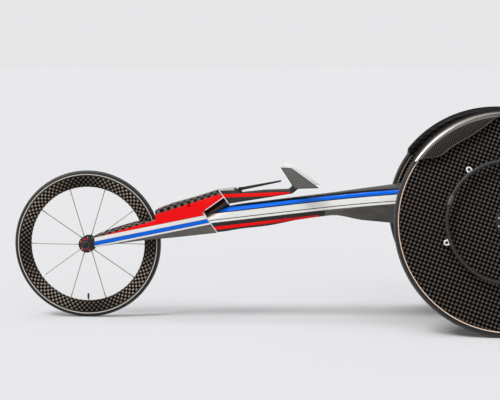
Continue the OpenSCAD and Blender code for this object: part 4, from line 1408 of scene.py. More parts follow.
    def livery(self, name: str, start: Point, rise: float, depth: float, rear: float) -> Livery:
        """Red, white and blue stripes that run straight along the fork, under a bare cap.

        Args:
            name: The paint's name.
            start: A point on the cap's top line.
            rise: Slope of that line.
            depth: Depth of the cap below it.
            rear: Place where the cap ends.

        Returns:
            The paint.
        """
        slope = self.stripe_slope
        base = self.axle_z - slope * self.axle_x
        bands = [Band(colour, base + low, base + high, slope, self.stripe_front, self.stripe_rear)
                 for colour, low, high in self.stripes]
        bands.append(Band(CHARCOAL, base - self.tip_half, base + self.tip_half, slope, self.tip_x,
                          self.stripe_front))
        edge = start[1] - rise * start[0] - depth
        bands.append(Band(None, edge, edge + self.cap_height, rise, rear=rear))
        return Livery(name, tuple(bands), FINE_TWILL, SPREAD_TOW)


def tapered_plate(name: str, outline: Sequence[Point], half_at: Callable[[float], float],
                  *splits: float, middle: float = 0.0) -> Piece:
    """Makes an upright plate whose thickness follows its place along the chair.

    Args:
        name: The piece's name.
        outline: Side view, X and Z.
        half_at: Half thickness at a place.
        splits: Places where the thickness changes its slope.
        middle: Y of the plate's middle.

    Returns:
        The plate, with sharp edges.
    """
    made = Shape().skin([[(x, y, z) for x, z in outline] for y in (-1.0, 1.0)]).piece(name)
    work = bmesh.new()
    work.from_mesh(made.data)
    for split in splits:
        bmesh.ops.bisect_plane(work, geom=work.verts[:] + work.edges[:] + work.faces[:],
                               plane_co=(split * MM, 0, 0), plane_no=(1, 0, 0))
    for vertex in work.verts:
        vertex.co.y = middle * MM + math.copysign(half_at(vertex.co.x / MM), vertex.co.y) * MM
    work.to_mesh(made.data)
    work.free()
    return made


@dataclass
class Handlebar:
    """Painted bar with the cross tube's fins and the brake lever."""

    outline: tuple = ((-278.3, 402.6), (-238.2, 407.7), (-226.5, 407.1), (-212.5, 393.5),
                      (-139.9, 400.9), (-62.7, 404), (-37, 431.9), (-15.9, 428.8),
                      (-20.6, 416.4), (-51, 392.2), (-247.1, 359.4))
    front_x: float = -285.0
    rear_x: float = -51.0
    front_half: float = 22.0
    rear_half: float = 30.0
    fin: tuple = ((-85.4, 476.7), (-52.4, 474.7), (32.6, 413.4), (-42.6, 410.7))
    fin_y: float = 78.0
    fin_half: float = 6.5
    fin_face: float = 0.3
    fin_edge: float = 2.6
    tube_r: float = 7.0
    lever_pivot: tuple = (-213.63, -13.2, 404.99)
    lever_run: Point = (128.0, 25.6)
    lever_half: float = 5.0
    lever_root: float = 5.0
    lever_tip: float = 2.5
    ear_r: float = 5.5
    ear_t: float = 4.0
    ear_gap: float = 7.3
    ear_foot: float = 14.0
    bar_round: float = 4.5
    fin_round: float = 3.0
    ear_round: float = 0.8
    lever_round: float = 1.6
    tube_out: float = 2.0
    # The pale grey band over the top of the bar's front is a painted highlight.
    stripes: tuple = ((BAR_TOP_HIGHLIGHT_GREY, 411.0, 440.0, 0.04, -290.0, -231.0),
                      (RED, 389.5, 400.0, 0.04, -285.0, -58.0))

    def half_at(self, x: float) -> float:
        """Half width of the bar at a place."""
        share = min(1.0, max(0.0, (x - self.front_x) / (self.rear_x - self.front_x)))
        return self.front_half + (self.rear_half - self.front_half) * share

    def build(self) -> None:
        """Builds the bar, its ears, the fins and the lever."""
        bar = tapered_plate("bar_shell", self.outline, self.half_at, self.rear_x)
        bevelled(bar, self.bar_round, 5, 20)
        dress(bar, self.livery().make())
        ears = [self.ear(k, sign) for k, sign in enumerate((-1, 1))]
        whole = joined("bar", [bar, *ears])
        place(whole, Body.STEERING, "carbon_painted", "handlebar")
        for side in Side:
            fin = tapered_plate(side.of("fin"), self.fin, lambda _: self.fin_half,
                                middle=side.sign * self.fin_y)
            bevelled(fin, self.fin_round, 5, 20)
            dress(fin, GRIP_RUBBER, EDGE_SHADE_BLACK, SEAL_AND_FIN_HIGHLIGHT_WHITE, pick=self.fin_layer)
            place(fin, Body.STEERING, "grip_rubber", side.of("grip"))
        place(dress(self.lever(), BLACK_LEVER), Body.LEVER, "black_lever", "brake_lever")
        low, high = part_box("cross_tube")
        middle = (low + high) / 2 / MM
        reach = Vector((0, self.fin_y + self.tube_out, 0))
        tube = Shape().rod(middle - reach, middle + reach,
                           ((0, self.tube_r), (1, self.tube_r)), 40).piece("grip_tube")
        place(dress(tube, BLACK_ALLOY), Body.STEERING, "black_alloy", "cross_tube")

    def fin_layer(self, face: Face) -> int:
        """Layer of a fin's face: 0 on its outside, 1 along its edge, black as painted edge shade, 2
        further in, white as a painted highlight.
        """
        depth = self.fin_y + self.fin_half - abs(face.center.y) / MM
        return int(depth >= self.fin_face) + int(depth >= self.fin_edge)

    def ear(self, index: int, sign: int) -> Piece:
        """Builds one rounded ear beside the lever's root.

        Args:
            index: Number of the ear.
            sign: Sign of its side of the lever.

        Returns:
            The ear.
        """
        x, y, z = self.lever_pivot
        r, low = self.ear_r, z - self.ear_foot
        outline = rounded([(x - r, low), (x + r, low), (x + r, z + r), (x - r, z + r)],
                          (0, 0, r * 0.9, r * 0.9), 6)
        ear = tapered_plate(f"ear_{index}", outline, lambda _: self.ear_t / 2,
                            middle=y + sign * self.ear_gap)
        return dress(bevelled(ear, self.ear_round, 2, 40), BLACK_ALLOY)

    def lever(self) -> Piece:
        """Builds the tapered lever with a rounded tip.

        Returns:
            The lever.
        """
        x, y, z = self.lever_pivot
        way = Vector(self.lever_run)
        up = Vector((-way.y, way.x)).normalized()
        root, tip = Vector((x, z)), Vector((x, z)) + way
        eye = [root + self.lever_root * Vector((math.cos(a), math.sin(a)))
               for a in spread(math.pi / 2, 3 * math.pi / 2, 9)]
        outline = [tuple(p) for p in eye]
        outline += [tuple(tip - up * self.lever_tip), tuple(tip + up * self.lever_tip)]
        lever = tapered_plate("lever", outline, lambda _: self.lever_half, middle=y)
        return bevelled(lever, self.lever_round, 4, 30)

    def livery(self) -> Livery:
        """One red stripe along a dark bar, with a pale grey painted highlight over the top of its
        front.
        """
        bands = tuple(Band(*stripe) for stripe in self.stripes)
        return Livery("bar_lacquer", bands, BAR_TWILL, SPREAD_TOW)


@dataclass
class Tyre:
    """One tubular tyre with a ribbed tread."""

    name: str
    bead: float
    tube: float
    line: Point
    tan: Colour
    rib_count: int
    segments: int = 256
    round_steps: int = 48
    tread_angle: float = 52.0
    groove: float = 0.35
    rib_wide: float = 0.55
    rib_lean: float = 0.5
    rib_from: float = 0.06
    rib_to: float = 0.97
    rib_sunk: float = 0.5

    def build(self, axes: Axes, body: Body, node: str) -> None:
        """Builds the casing and its tread ribs.

        Args:
            axes: The wheel's frame.
            body: The wheel's body.
            node: The frame's tyre node.
        """
        edge = math.radians(self.tread_angle)
        profile = []
        for a in turns(self.round_steps):
            off = min(a, TURN - a)
            r = self.tube - (self.groove if off > edge else 0.6 * self.groove)
            profile.append((self.bead + r * math.cos(a), r * math.sin(a)))
        finish = TyreRubber(f"{self.name}_rubber", self.line,
                            self.bead + self.tube * math.cos(edge), self.tan).make(axes)
        casing = Shape().turned(profile, self.segments).piece(f"{self.name}_casing", axes, 60)
        ribs = REPEAT.piece(f"{self.name}_ribs", self.rib(edge), axes, self.rib_count, 0.0, finish)
        place(joined(self.name, [dress(casing, finish), ribs]), body, "tyre_rubber", node)

    def rib(self, edge: float) -> Shape:
        """One low rib that leans across half the tread, and its mirror image.

        Args:
            edge: Angle of the tread's edge round the casing.

        Returns:
            The two ribs.
        """
        item = Shape()
        pitch = TURN / self.rib_count
        low, high = self.tube - self.rib_sunk, self.tube
        for sign in (-1, 1):
            rings = []
            for k, a in enumerate(spread(self.rib_from, edge * self.rib_to, 6)):
                near = self.rib_lean * pitch * k
                far = near + self.rib_wide * pitch
                ring = []
                for turn, r in ((near, low), (near, high), (far, high), (far, low)):
                    out, s = self.bead + r * math.cos(a), sign * r * math.sin(a)
                    ring.append((out * math.cos(turn), out * math.sin(turn), s))
                rings.append(ring)
            item.skin(rings)
        return item


@dataclass
class FrontWheel:
    """Spoked front wheel with a deep woven rim."""

    bead: float = 218.5
    tube: float = 11.5
    rim_in: float = 178.5
    rim_half: float = 10.5
    inner_half: float = 4.2
    knee: float = 196.5
    spoke_count: int = 10
    spoke_r: float = 1.2
    flange_r: float = 26.0
    flange_y: float = 22.63
    flange_t: float = 4.0
    hub_half: float = 36.5
    barrel_r: float = 13.0
    end_r: float = 16.0
    bore_r: float = 8.0
    nipple_r: float = 2.2
    nipple_l: float = 12.0
    ring_r: float = 19.0
    ring_s: Point = (2.0, 8.0)
    collar_in: float = 4.6
    nut_flat: float = 18.0
    nut_from: float = 46.8
    nut_t: float = 6.0
    dome_t: float = 3.0
    washer_rs: Point = (8.0, 12.4)
    washer_t: float = 1.2
    valve_l: float = 22.0
    seat_l: float = 3.6
    weave_r: float = 199.0
    tan_line: Point = (216.6, 219.4)
    tan: Colour = screen(226, 216, 202)
    rib_count: int = 168
    rim_lap: float = 1.5
    rim_radii: tuple = (3, 8, 8, 1)
    knee_share: float = 0.93
    spoke_in: float = 3.0
    spoke_swells: tuple = ((0, 1.3), (0.06, 1.3), (0.1, 1), (0.9, 1), (0.94, 1.2), (1, 1.2))
    nipple_gap: float = 0.3
    nipple_swells: tuple = ((0, 0.62), (0.08, 0.8), (0.6, 0.84), (0.68, 1), (1, 1))
    hub_radii: tuple = (0.4, 1.2, 2, 1.2, 1.2, 4)
    flange_flare: float = 3.0
    collar_s: Point = (-0.6, 0.5)
    collar_radii: tuple = ((0, 2.1), (0.7, 2.1), (1, 1.5))
    collar_turns: Point = (18.0, 9.0)
    nut_swells: tuple = ((0, 0.98), (0.08, 1), (0.78, 1), (1, 0.9))
    nut_round: float = 0.7
    dome_sunk: float = 0.5
    dome_radii: tuple = ((0, 6.4), (0.5, 6.0), (0.85, 4.6), (1, 2.6))
    stem_radii: tuple = ((0, 3), (0.2, 3), (0.25, 2.6), (0.4, 2.6), (0.43, 3.2), (0.9, 3),
                         (1, 1.6))
    seat_radii: tuple = ((0, 4), (0.7, 4), (1, 3.2))

    def build(self) -> None:
        """Builds every piece of the wheel."""
        tyre = Tyre("front_tube", self.bead, self.tube, self.tan_line, self.tan, self.rib_count)
        tyre.build(FRONT_AXLE, Body.FRONT_WHEEL, "front_tyre")
        self.rim()
        self.spokes()
        self.hub()
        self.nuts()
        self.valve()

    def rim(self) -> None:
        """Builds the deep rim with its wound weave."""
        half, low = self.rim_half, self.inner_half
        left = [(self.rim_in, -low), (self.knee, -self.knee_share * half),
                (self.knee + half / 2, -half), (self.bead - self.rim_lap, -half)]
        profile = rounded(mirrored(left, ENDWISE), self.rim_radii + self.rim_radii[::-1], 5)
        rim = Shape().turned(profile, 288).piece("deep_rim", FRONT_AXLE, 60)
        dress(rim, RIM_WEAVE.make(FRONT_AXLE, Lay.ROUND, self.weave_r))
        place(rim, Body.FRONT_WHEEL, "carbon_rim", "front_rim")

    def spokes(self) -> None:
        """Builds the spokes and their nipples, by turns to each flange."""
        spokes, nipples = [], []
        for k, sign in enumerate((1, -1)):
            foot = Vector((self.flange_r - self.spoke_in, 0, sign * self.flange_y))
            head = Vector((self.rim_in, 0, 0))
            way = (foot - head).normalized()
            near = head + 0.5 * self.nipple_l * way
            item = Shape().rod(foot, near, [(share, swell * self.spoke_r)
                                            for share, swell in self.spoke_swells], 12)
            start = k * 360 / self.spoke_count
            count = self.spoke_count // 2
            spokes.append(REPEAT.piece(f"spokes_{k}", item, FRONT_AXLE, count, start, SPOKE))
            seat = Shape().rod(head + self.nipple_l * way, head + self.nipple_gap * way,
                               [(share, swell * self.nipple_r)
                                for share, swell in self.nipple_swells], 12)
            nipples.append(REPEAT.piece(f"nipples_{k}", seat, FRONT_AXLE, count, start, PLATED))
        place(joined("spoke_set", spokes), Body.FRONT_WHEEL, "steel", "front_spokes")
        place(joined("nipple_set", nipples), Body.FRONT_WHEEL, "brass_nipple", "spoke_nipples")

    def hub(self) -> None:
        """Builds the turned hub, the steel collars at its flanges and its red rings."""
        half, flange, t = self.hub_half, self.flange_y, self.flange_t / 2
        right = [(self.bore_r, half), (self.end_r, half), (self.end_r, flange + t),
                 (self.flange_r, flange + t), (self.flange_r, flange - t),
                 (self.barrel_r, flange - t - self.flange_flare)]
        profile = rounded(mirrored(right, ENDWISE), self.hub_radii + self.hub_radii[::-1], 3)
        hub = dress(Shape().turned(profile, 96).piece("turned_hub", FRONT_AXLE), BLACK_ALLOY)
        collars = []
        for sign in (-1, 1):
            ends = [Vector((self.flange_r - self.collar_in, 0, sign * (flange + t + s)))
                    for s in self.collar_s]
            item = Shape().rod(*ends, self.collar_radii, 14)
            start = self.collar_turns[0] + sign * self.collar_turns[1]
            collars.append(REPEAT.piece(f"collars_{sign}", item, FRONT_AXLE, self.spoke_count // 2,
                                        start, STEEL))
        place(joined("hub_shell", [hub, *collars]), Body.FRONT_WHEEL, "black_alloy", "front_hub")
        rings = []
        for sign in (-1, 1):
            outer, inner = [sign * (half - depth) for depth in self.ring_s]
            corners = [(self.end_r, inner), (self.ring_r, inner), (self.ring_r, outer),
                       (self.end_r, outer)]
            ring = Shape().turned(rounded(corners, (0.2, 1, 1, 0.2)), 72)
            rings.append(dress(ring.piece(f"ring_{sign}", FRONT_AXLE), RED_ALLOY))
        place(joined("red_rings", rings), Body.FRONT_WHEEL, "red_anodised", "hub_rings")

    def nuts(self) -> None:
        """Builds the two axle nuts with their washer faces and domes."""
        nuts = []
        reach = self.nut_flat / 2 / math.cos(math.radians(30))
        for sign in (-1, 1):
            rings = []
            for share, scale in self.nut_swells:
                s = sign * (self.nut_from + share * self.nut_t)
                rings.append([(scale * reach * math.cos(a), scale * reach * math.sin(a), s)
                              for a in turns(6)])
            nut = Shape().skin(rings).piece(f"nut_{sign}", FRONT_AXLE)
            bevelled(nut, self.nut_round, 3, 25)
            top = self.nut_from + self.nut_t
            dome = Shape().rod(Vector((0, 0, sign * (top - self.dome_sunk))),
                               Vector((0, 0, sign * (top + self.dome_t))), self.dome_radii, 36)
            low, high = sign * self.nut_from, sign * (self.nut_from + self.washer_t)
            inner, outer = self.washer_rs
            washer = [(inner, low), (outer, low), (outer, high), (inner, high)]
            plate = Shape().turned(rounded(washer, 0.3, 3), 48).piece(f"washer_{sign}", FRONT_AXLE)
            nuts += [dress(nut, BLACK_ALLOY),
                     dress(dome.piece(f"dome_{sign}", FRONT_AXLE), BLACK_ALLOY),
                     dress(plate, DARK_STEEL)]
        place(joined("hub_nuts", nuts), Body.STEERING, "steel", "axle_nuts")

    def valve(self) -> None:
        """Builds the valve with its tan seat and its capped stem."""
        start, up = Vector((0, -self.rim_in, 0)), Vector((0, 1, 0))
        stem = Shape().rod(start - up, start + self.valve_l * up, self.stem_radii, 20)
        seat = Shape().rod(start - up, start + self.seat_l * up, self.seat_radii, 24)
        tan = Rubber("valve_seat", screen(196, 168, 140)).make()
        parts = [dress(stem.piece("stem", FRONT_AXLE), BLACK_LEVER),
                 dress(seat.piece("seat", FRONT_AXLE), tan)]
        place(joined("valve", parts), Body.FRONT_WHEEL, "valve_black", "front_valve")


@dataclass
class RearWheel:
    """Disc wheel with its tyre, hub, push rim and posts."""

    side: Side
    bead: float = 322.5
    tube: float = 11.5
    rim_in: float = 304.5
    rim_half: float = 10.5
    barrel_r: float = 32.0
    hub_half: float = 25.0
    flange_r: float = 39.0
    flange_t: float = 4.0
    nose_r: float = 24.2
    nose_s: float = 39.0
    bore_r: float = 8.4
    push_r: float = 180.0
    push_tube: float = 6.25
    push_out: float = 40.0
    post_r: float = 192.0
    post_start: float = 127.0
    post_count: int = 5
    foot_r: float = 7.5
    pin_r: float = 5.0
    tab_t: float = 4.0
    bolt_r: float = 4.5
    bolt_h: float = 4.0
    tab_wide: float = 1.4
    screw_r: float = 31.5
    screw_count: int = 8
    tape_at: float = 160.0
    tape_turn: float = 9.0
    tape_swell: float = 0.55
    tape_wave: float = 0.4
    tape_waves: int = 5
    tan_line: Point = (317.9, 321.6)
    tan: Colour = screen(240, 211, 188)
    rib_count: int = 236
    rim_lap: float = 2.0
    disc_radii: tuple = (0.5, 60, 1)
    foot_sunk: float = 2.0
    foot_swells: tuple = ((0, 2), (0.3, 0.6), (0.9, 0), (1, -0.8))
    nose_cut: float = 4.0
    hub_radii: tuple = (0.5, 1.5, 1.5, 2.5, 1.4, 0.3)
    screw_h: float = 1.8
    screw_radii: tuple = ((0, 2.8), (0.75, 2.8), (1, 2.2))
    tab_round: float = 0.7
    pin_waist: float = 0.4
    bolt_rings: tuple = ((1, 0, False), (1, 0.3, False), (0.82, 0.5, False), (0.62, 0.5, True),
                         (0.62, 0.05, True))

    def build(self) -> None:
        """Builds every piece of the wheel."""
        self.axes, self.body, self.of = REAR_AXLE[self.side], self.side.wheel, self.side.of
        tyre = Tyre(self.of("rear_tube"), self.bead, self.tube, self.tan_line, self.tan,
                    self.rib_count, segments=320)
        tyre.build(self.axes, self.body, self.of("rear_tyre"))
        self.disc()
        self.hub()
        self.push_rim()
        self.posts()

    def five(self, word: str, item: Shape, material: Material,
             sharp: float = 35.0) -> Piece:
        """Repeats an item at every post of the push rim."""
        return REPEAT.piece(self.of(word), item, self.axes, self.post_count, self.post_start,
                            material, sharp)

    def disc(self) -> None:
        """Builds the two woven skins as one lens, and the feet of the posts."""
        half, hub = self.rim_half, self.hub_half
        right = [(self.barrel_r, hub), (self.rim_in, half), (self.bead - self.rim_lap, half)]
        profile = rounded(mirrored(right, ENDWISE), self.disc_radii + self.disc_radii[::-1], 8)
        finish = replace(DISC_WEAVE, name=self.of(DISC_WEAVE.name)).make(self.axes)
        lens = Shape().turned(profile, 288).piece(self.of("lens"), self.axes, 60)
        slope = (hub - half) / (self.rim_in - self.barrel_r)
        face = half + slope * (self.rim_in - self.post_r)
        ends = [Vector((self.post_r, 0, s)) for s in (face - self.foot_sunk, hub)]
        foot = Shape().rod(*ends, [(share, self.foot_r + swell)
                                   for share, swell in self.foot_swells], 32)
        whole = joined(self.of("disc"), [dress(lens, finish), self.five("feet", foot, finish)])
        place(whole, self.body, "carbon_disc", self.of("rear_disc"))

    def hub(self) -> None:
        """Builds the turned hub with its two flanges and their screws."""
        top = self.hub_half + self.flange_t
        right = [(self.bore_r, self.nose_s), (self.nose_r - self.nose_cut, self.nose_s),
                 (self.nose_r, self.nose_s - self.nose_cut), (self.nose_r, top),
                 (self.flange_r, top), (self.flange_r, self.hub_half)]
        profile = rounded(mirrored(right, ENDWISE), self.hub_radii + self.hub_radii[::-1])
        hub = dress(Shape().turned(profile, 120).piece(self.of("barrel"), self.axes), BLACK_ALLOY)
        foot = Vector((self.screw_r, 0, top))
        screw = Shape().rod(foot - UPWARD, foot + self.screw_h * UPWARD, self.screw_radii, 18)
        screws = REPEAT.piece(self.of("screws"), screw, self.axes, self.screw_count,
                              180 / self.screw_count, STEEL)
        place(joined(self.of("rear_barrel"), [hub, screws]), self.body, "black_alloy",
              self.of("rear_hub"))

    def push_rim(self) -> None:
        """Builds the rubber-covered push rim, its taped joint and its alloy tabs."""
        rings = []
        half = self.tape_turn / 2
        for a in spread(half, 360 - half, 240) + spread(360 - half, 360 + half, 66)[1:-1]:
            off = (a - 360) / half
            r = self.push_tube
            if abs(off) < 1:
                wave = math.cos(off * self.tape_waves * math.pi)
                r += self.tape_swell + self.tape_wave * wave
            turn = math.radians(a + self.tape_at)
            out = Vector((math.cos(turn), math.sin(turn), 0))
            rings.append(hoop(self.push_r * out + self.push_out * UPWARD, r, out, UPWARD, 24))
        tube = Shape().skin(rings, path_closed=True).piece(self.of("hoop"), self.axes, 60)
        dress(tube, RIM_RUBBER, TAPE, pick=self.taped)
        low, high = self.push_out - self.tab_t / 2, self.push_out + self.tab_t / 2
        x, r = self.post_r, self.foot_r + self.tab_wide
        cap = [(x + r * math.cos(a), r * math.sin(a))
               for a in spread(-math.pi / 2, math.pi / 2, 13)]
        tab = Shape().prism(cap + [(self.push_r, r), (self.push_r, -r)], low, high)
        tabs = bevelled(self.five("tabs", tab, TAB_SILVER), self.tab_round, 2, 40)
        place(joined(self.of("push_hoop"), [tube, tabs]), self.body, "rim_rubber",
              self.of("push_rim"))

    def taped(self, face: Face) -> int:
        """Tells the push rim's taped joint from its rubber.

        Args:
            face: A face of the rim.

        Returns:
            1 for a face of the joint, else 0.
        """
        at = math.radians(self.tape_at)
        mark = self.axes.x * math.cos(at) + self.axes.y * math.sin(at)
        arm = face.center / MM - self.axes.origin
        arm -= arm.dot(self.axes.z) * self.axes.z
        return int(arm.angle(mark) < math.radians(self.tape_turn / 2))

    def posts(self) -> None:
        """Builds the posts and the socket screws that hold the push rim."""
        x, low = self.post_r, self.push_out - self.tab_t / 2
        wide, waist = self.pin_r, self.pin_r - self.pin_waist
        post = Shape().rod(Vector((x, 0, self.hub_half)), Vector((x, 0, low)),
                           ((0, wide), (0.1, waist), (0.9, waist), (1, wide)), 28)
        place(self.five("posts", post, ALLOY), self.body, "alloy", self.of("rim_posts"))
        top, sixth = self.push_out + self.tab_t / 2, math.pi / 6
        rings = []
        for swell, rise, hexagon in self.bolt_rings:
            r, s = swell * self.bolt_r, top + rise * self.bolt_h
            ring = []
            for a in turns(24):
                flat = math.cos(sixth) / math.cos(a % (2 * sixth) - sixth) if hexagon else 1.0
                ring.append((x + r * flat * math.cos(a), r * flat * math.sin(a), s))
            rings.append(ring)
        bolts = self.five("socket_screws", Shape().skin(rings), SOCKET_BLACK, 25)
        place(bolts, self.body, "steel", self.of("post_bolts"))


@dataclass
class Fender:
    """Carbon guard over a rear wheel: inner panel, roof and outer leaf in one sheet."""

    side: Side
    roof_r: float = 340.5
    crest_r: float = 326.5
    leaf_s: float = 27.5
    flat_s: float = 5.2
    panel_s: float = -28.5
    sheet: float = 3.0
    roof_from: float = 60.0
    roof_to: float = 144.0
    leaf_from: float = 97.0
    leaf_to: float = 147.0
    leaf_w: float = 50.0
    low_y: float = 132.0
    front_x: float = -207.0
    rear_x: float = 183.7
    leaf_shares: tuple = (0, 0.16, 0.38, 0.72, 0.8, 0.94, 1)
    depth_shares: tuple = (0.32, 0.75, 1, 1, 0.85, 0.2, 0.06)
    bulge: float = 2.8
    edge_r: float = 1.7
    edge_start: float = 6.0
    tongue_end: float = 0.5
    painted_shade_to: float = 17.0
    painted_highlight_r: float = 315.5
    columns: int = 96
    bend_radii: tuple = (0, 9, 14, 24, 0)
    bend_steps: int = 7
    run_out: float = 60.0
    tail_slope: float = 150.0
    tail_least: float = 4.0
    rim_r: float = 1.0
    sharp: float = 50.0

    def leaf_depth(self, angle: float) -> float:
        """Depth of the leaf below the crest.

        Args:
            angle: Place round the wheel, in degrees.

        Returns:
            The depth there.
        """
        share = (angle - self.leaf_from) / (self.leaf_to - self.leaf_from)
        if share < 0:
            depth = self.depth_shares[0] * self.leaf_w + share * self.tail_slope
            return max(self.tail_least, depth)
        return self.leaf_w * Track(self.leaf_shares, self.depth_shares).at(share)

    def across(self, angle: float) -> list[Point]:
        """Radius and depth of the sheet's roof and crest, cut off where the leaf ends.

        Args:
            angle: Place round the wheel, in degrees.

        Returns:
            The points from the panel's head to the crest's foot.
        """
        corners = [(self.roof_r - self.run_out, self.panel_s), (self.roof_r, self.panel_s),
                   (self.roof_r, self.flat_s), (self.crest_r, self.leaf_s),
                   (self.crest_r - self.run_out, self.leaf_s)]
        end = self.crest_r - self.leaf_depth(angle)
        spots: list[Point] = []
        for r, s in rounded(corners, self.bend_radii, self.bend_steps)[1:-1]:
            if s > self.flat_s and r < end:
                before_r, before_s = spots[-1]
                share = (before_r - end) / (before_r - r) if before_r > end else 0.0
                r, s = end, before_s + share * (s - before_s)
            spots.append((r, s))
        return spots

    def section(self, angle: float, whole: bool) -> list[Spot]:
        """Points across the sheet at an angle, from the panel's foot to the leaf's edge.

        Args:
            angle: Place round the wheel, in degrees.
            whole: False for the leaf alone, ahead of the roof.

        Returns:
            The points, in the wheel's frame.
        """
        a = math.radians(angle)
        spots = self.across(angle)
        end, last = self.crest_r - self.leaf_depth(angle), spots[-1][0]
        bulge = self.bulge * self.leaf_depth(angle) / self.leaf_w if end < last else 0.0
        for t in spread(0, 1, 10)[1:]:
            depth = self.leaf_s + bulge * math.sin(math.pi * t) if end < last else spots[-1][1]
            spots.append((min(last, last + (end - last) * t), depth))
        points = [(r * math.cos(a), r * math.sin(a), s) for r, s in spots]
        share = (self.roof_to - angle) / (self.roof_to - self.roof_from)
        foot_x = self.front_x + (self.rear_x - self.front_x) * share
        foot, head = Vector((foot_x, self.low_y, self.panel_s)), Vector(points[0])
        panel = [tuple(foot.lerp(head, t)) for t in spread(0, 1, 12)[:-1]]
        return panel + points if whole else points[2 * (self.bend_steps + 1):]

    def build(self, carbon: Material) -> None:
        """Builds the sheet, thickens it and rounds its rims.

        Args:
            carbon: Finish of the sheet.
        """
        axes = REAR_AXLE[self.side]
        rows = [self.section(a, True) for a in spread(self.roof_from, self.roof_to, self.columns)]
        tongue = [self.section(a, False)
                  for a in spread(self.roof_to, self.leaf_to - self.tongue_end, 16)]
        shape = Shape().skin(rows, ring_closed=False, caps=False)
        shape.skin(tongue, ring_closed=False, caps=False)
        guard = shape.piece(self.side.of("guard"), axes, self.sharp)
        modify(guard, "SOLIDIFY", thickness=self.sheet * MM, offset=0.0, use_even_offset=True)
        bevelled(guard, self.rim_r, 3, self.sharp, self.sharp)
        # Darker carbon on the roof and panel is painted shade; lighter metal on the crest is a
        # painted highlight.
        dress(lay_cloth(guard), carbon, SHADED_GUARD_CARBON.make(axes, Lay.WALLS), CREST_HIGHLIGHT_METAL,
              pick=self.layer)
        whole = joined(self.side.of("guard"), [guard, self.rolled_edge(axes)])
        place(whole, Body.CHASSIS, "carbon_fender", self.side.of("fender"))

    def layer(self, face: Face) -> int:
        """Tells the guard's finishes apart.

        Args:
            face: A face of the guard.

        Returns:
            0 on the leaf, 1 on the roof and panel, darker as painted shade, 2 on the crest, lighter
            as a painted highlight.
        """
        axes = REAR_AXLE[self.side]
        arm = face.center / MM - axes.origin
        depth = arm.dot(axes.z)
        radius = (arm - depth * axes.z).length
        return 1 if depth < self.painted_shade_to else 2 if radius > self.painted_highlight_r else 0

    def rolled_edge(self, axes: Axes) -> Piece:
        """Builds the thin rolled edge along the leaf, a real bead whose lighter metal is a painted
        highlight.

        Args:
            axes: The wheel's frame.

        Returns:
            The edge.
        """
        path = []
        for angle in spread(self.leaf_from - self.edge_start, self.leaf_to - self.tongue_end,
                            self.columns):
            a, r = math.radians(angle), self.crest_r - self.leaf_depth(angle)
            s = self.across(angle)[-1][1] + self.edge_r / 2
            path.append(Vector((r * math.cos(a), r * math.sin(a), s)))
        rings = []
        for i, point in enumerate(path):
            way = (path[min(i + 1, len(path) - 1)] - path[max(i - 1, 0)]).normalized()
            rings.append(hoop(point, self.edge_r, way.cross(UPWARD), UPWARD, 10))
        return dress(Shape().skin(rings).piece(self.side.of("leaf_edge"), axes, 60), LEAF_EDGE_HIGHLIGHT)


class StitchRun(CopyTree):
    """Node tree that sets stitches along the lines of a mesh."""

    spacing = 5.0
    size = (1.9, 0.5, 0.5)

    def __init__(self) -> None:
        """Builds the tree."""
        super().__init__("stitch_run", Spacing="Float", Size="Vector")
        curve = self.node("GeometryNodeMeshToCurve", {"Mesh": self.source["Geometry"]})
        even = self.node("GeometryNodeResampleCurve",
                         {"Curve": curve.outputs[0], "Length": self.source["Spacing"]},
                         mode="LENGTH")
        way = self.node("GeometryNodeInputTangent")
        turn = self.node("FunctionNodeAlignRotationToVector", {"Vector": way.outputs[0]}, axis="X")
        stitch = self.node("GeometryNodeMeshUVSphere",
                           {"Segments": 8, "Rings": 6, "Radius": 1.0})
        self.feed(Points=even.outputs[0], Instance=stitch.outputs["Mesh"],
                  Rotation=turn.outputs[0], Scale=self.source["Size"])

    def piece(self, name: str, lines: Sequence[Sequence[Vector]],
              material: Material) -> Piece:
        """Sews stitches along lines.

        Args:
            name: Name of the piece.
            lines: Open lines of points, in metres.
            material: Finish of the thread.

        Returns:
            The finished piece.
        """
        points, edges = [], []
        for line in lines:
            edges += [(len(points) + k, len(points) + k + 1) for k in range(len(line) - 1)]
            points += line
        mesh = bpy.data.meshes.new(name)
        mesh.from_pydata(points, edges, [])
        made = self.run(linked(name, mesh), Spacing=self.spacing * MM,
                        Size=tuple(length * MM for length in self.size), Material=material)
        made.data.shade_smooth()
        return made


STITCH = StitchRun()


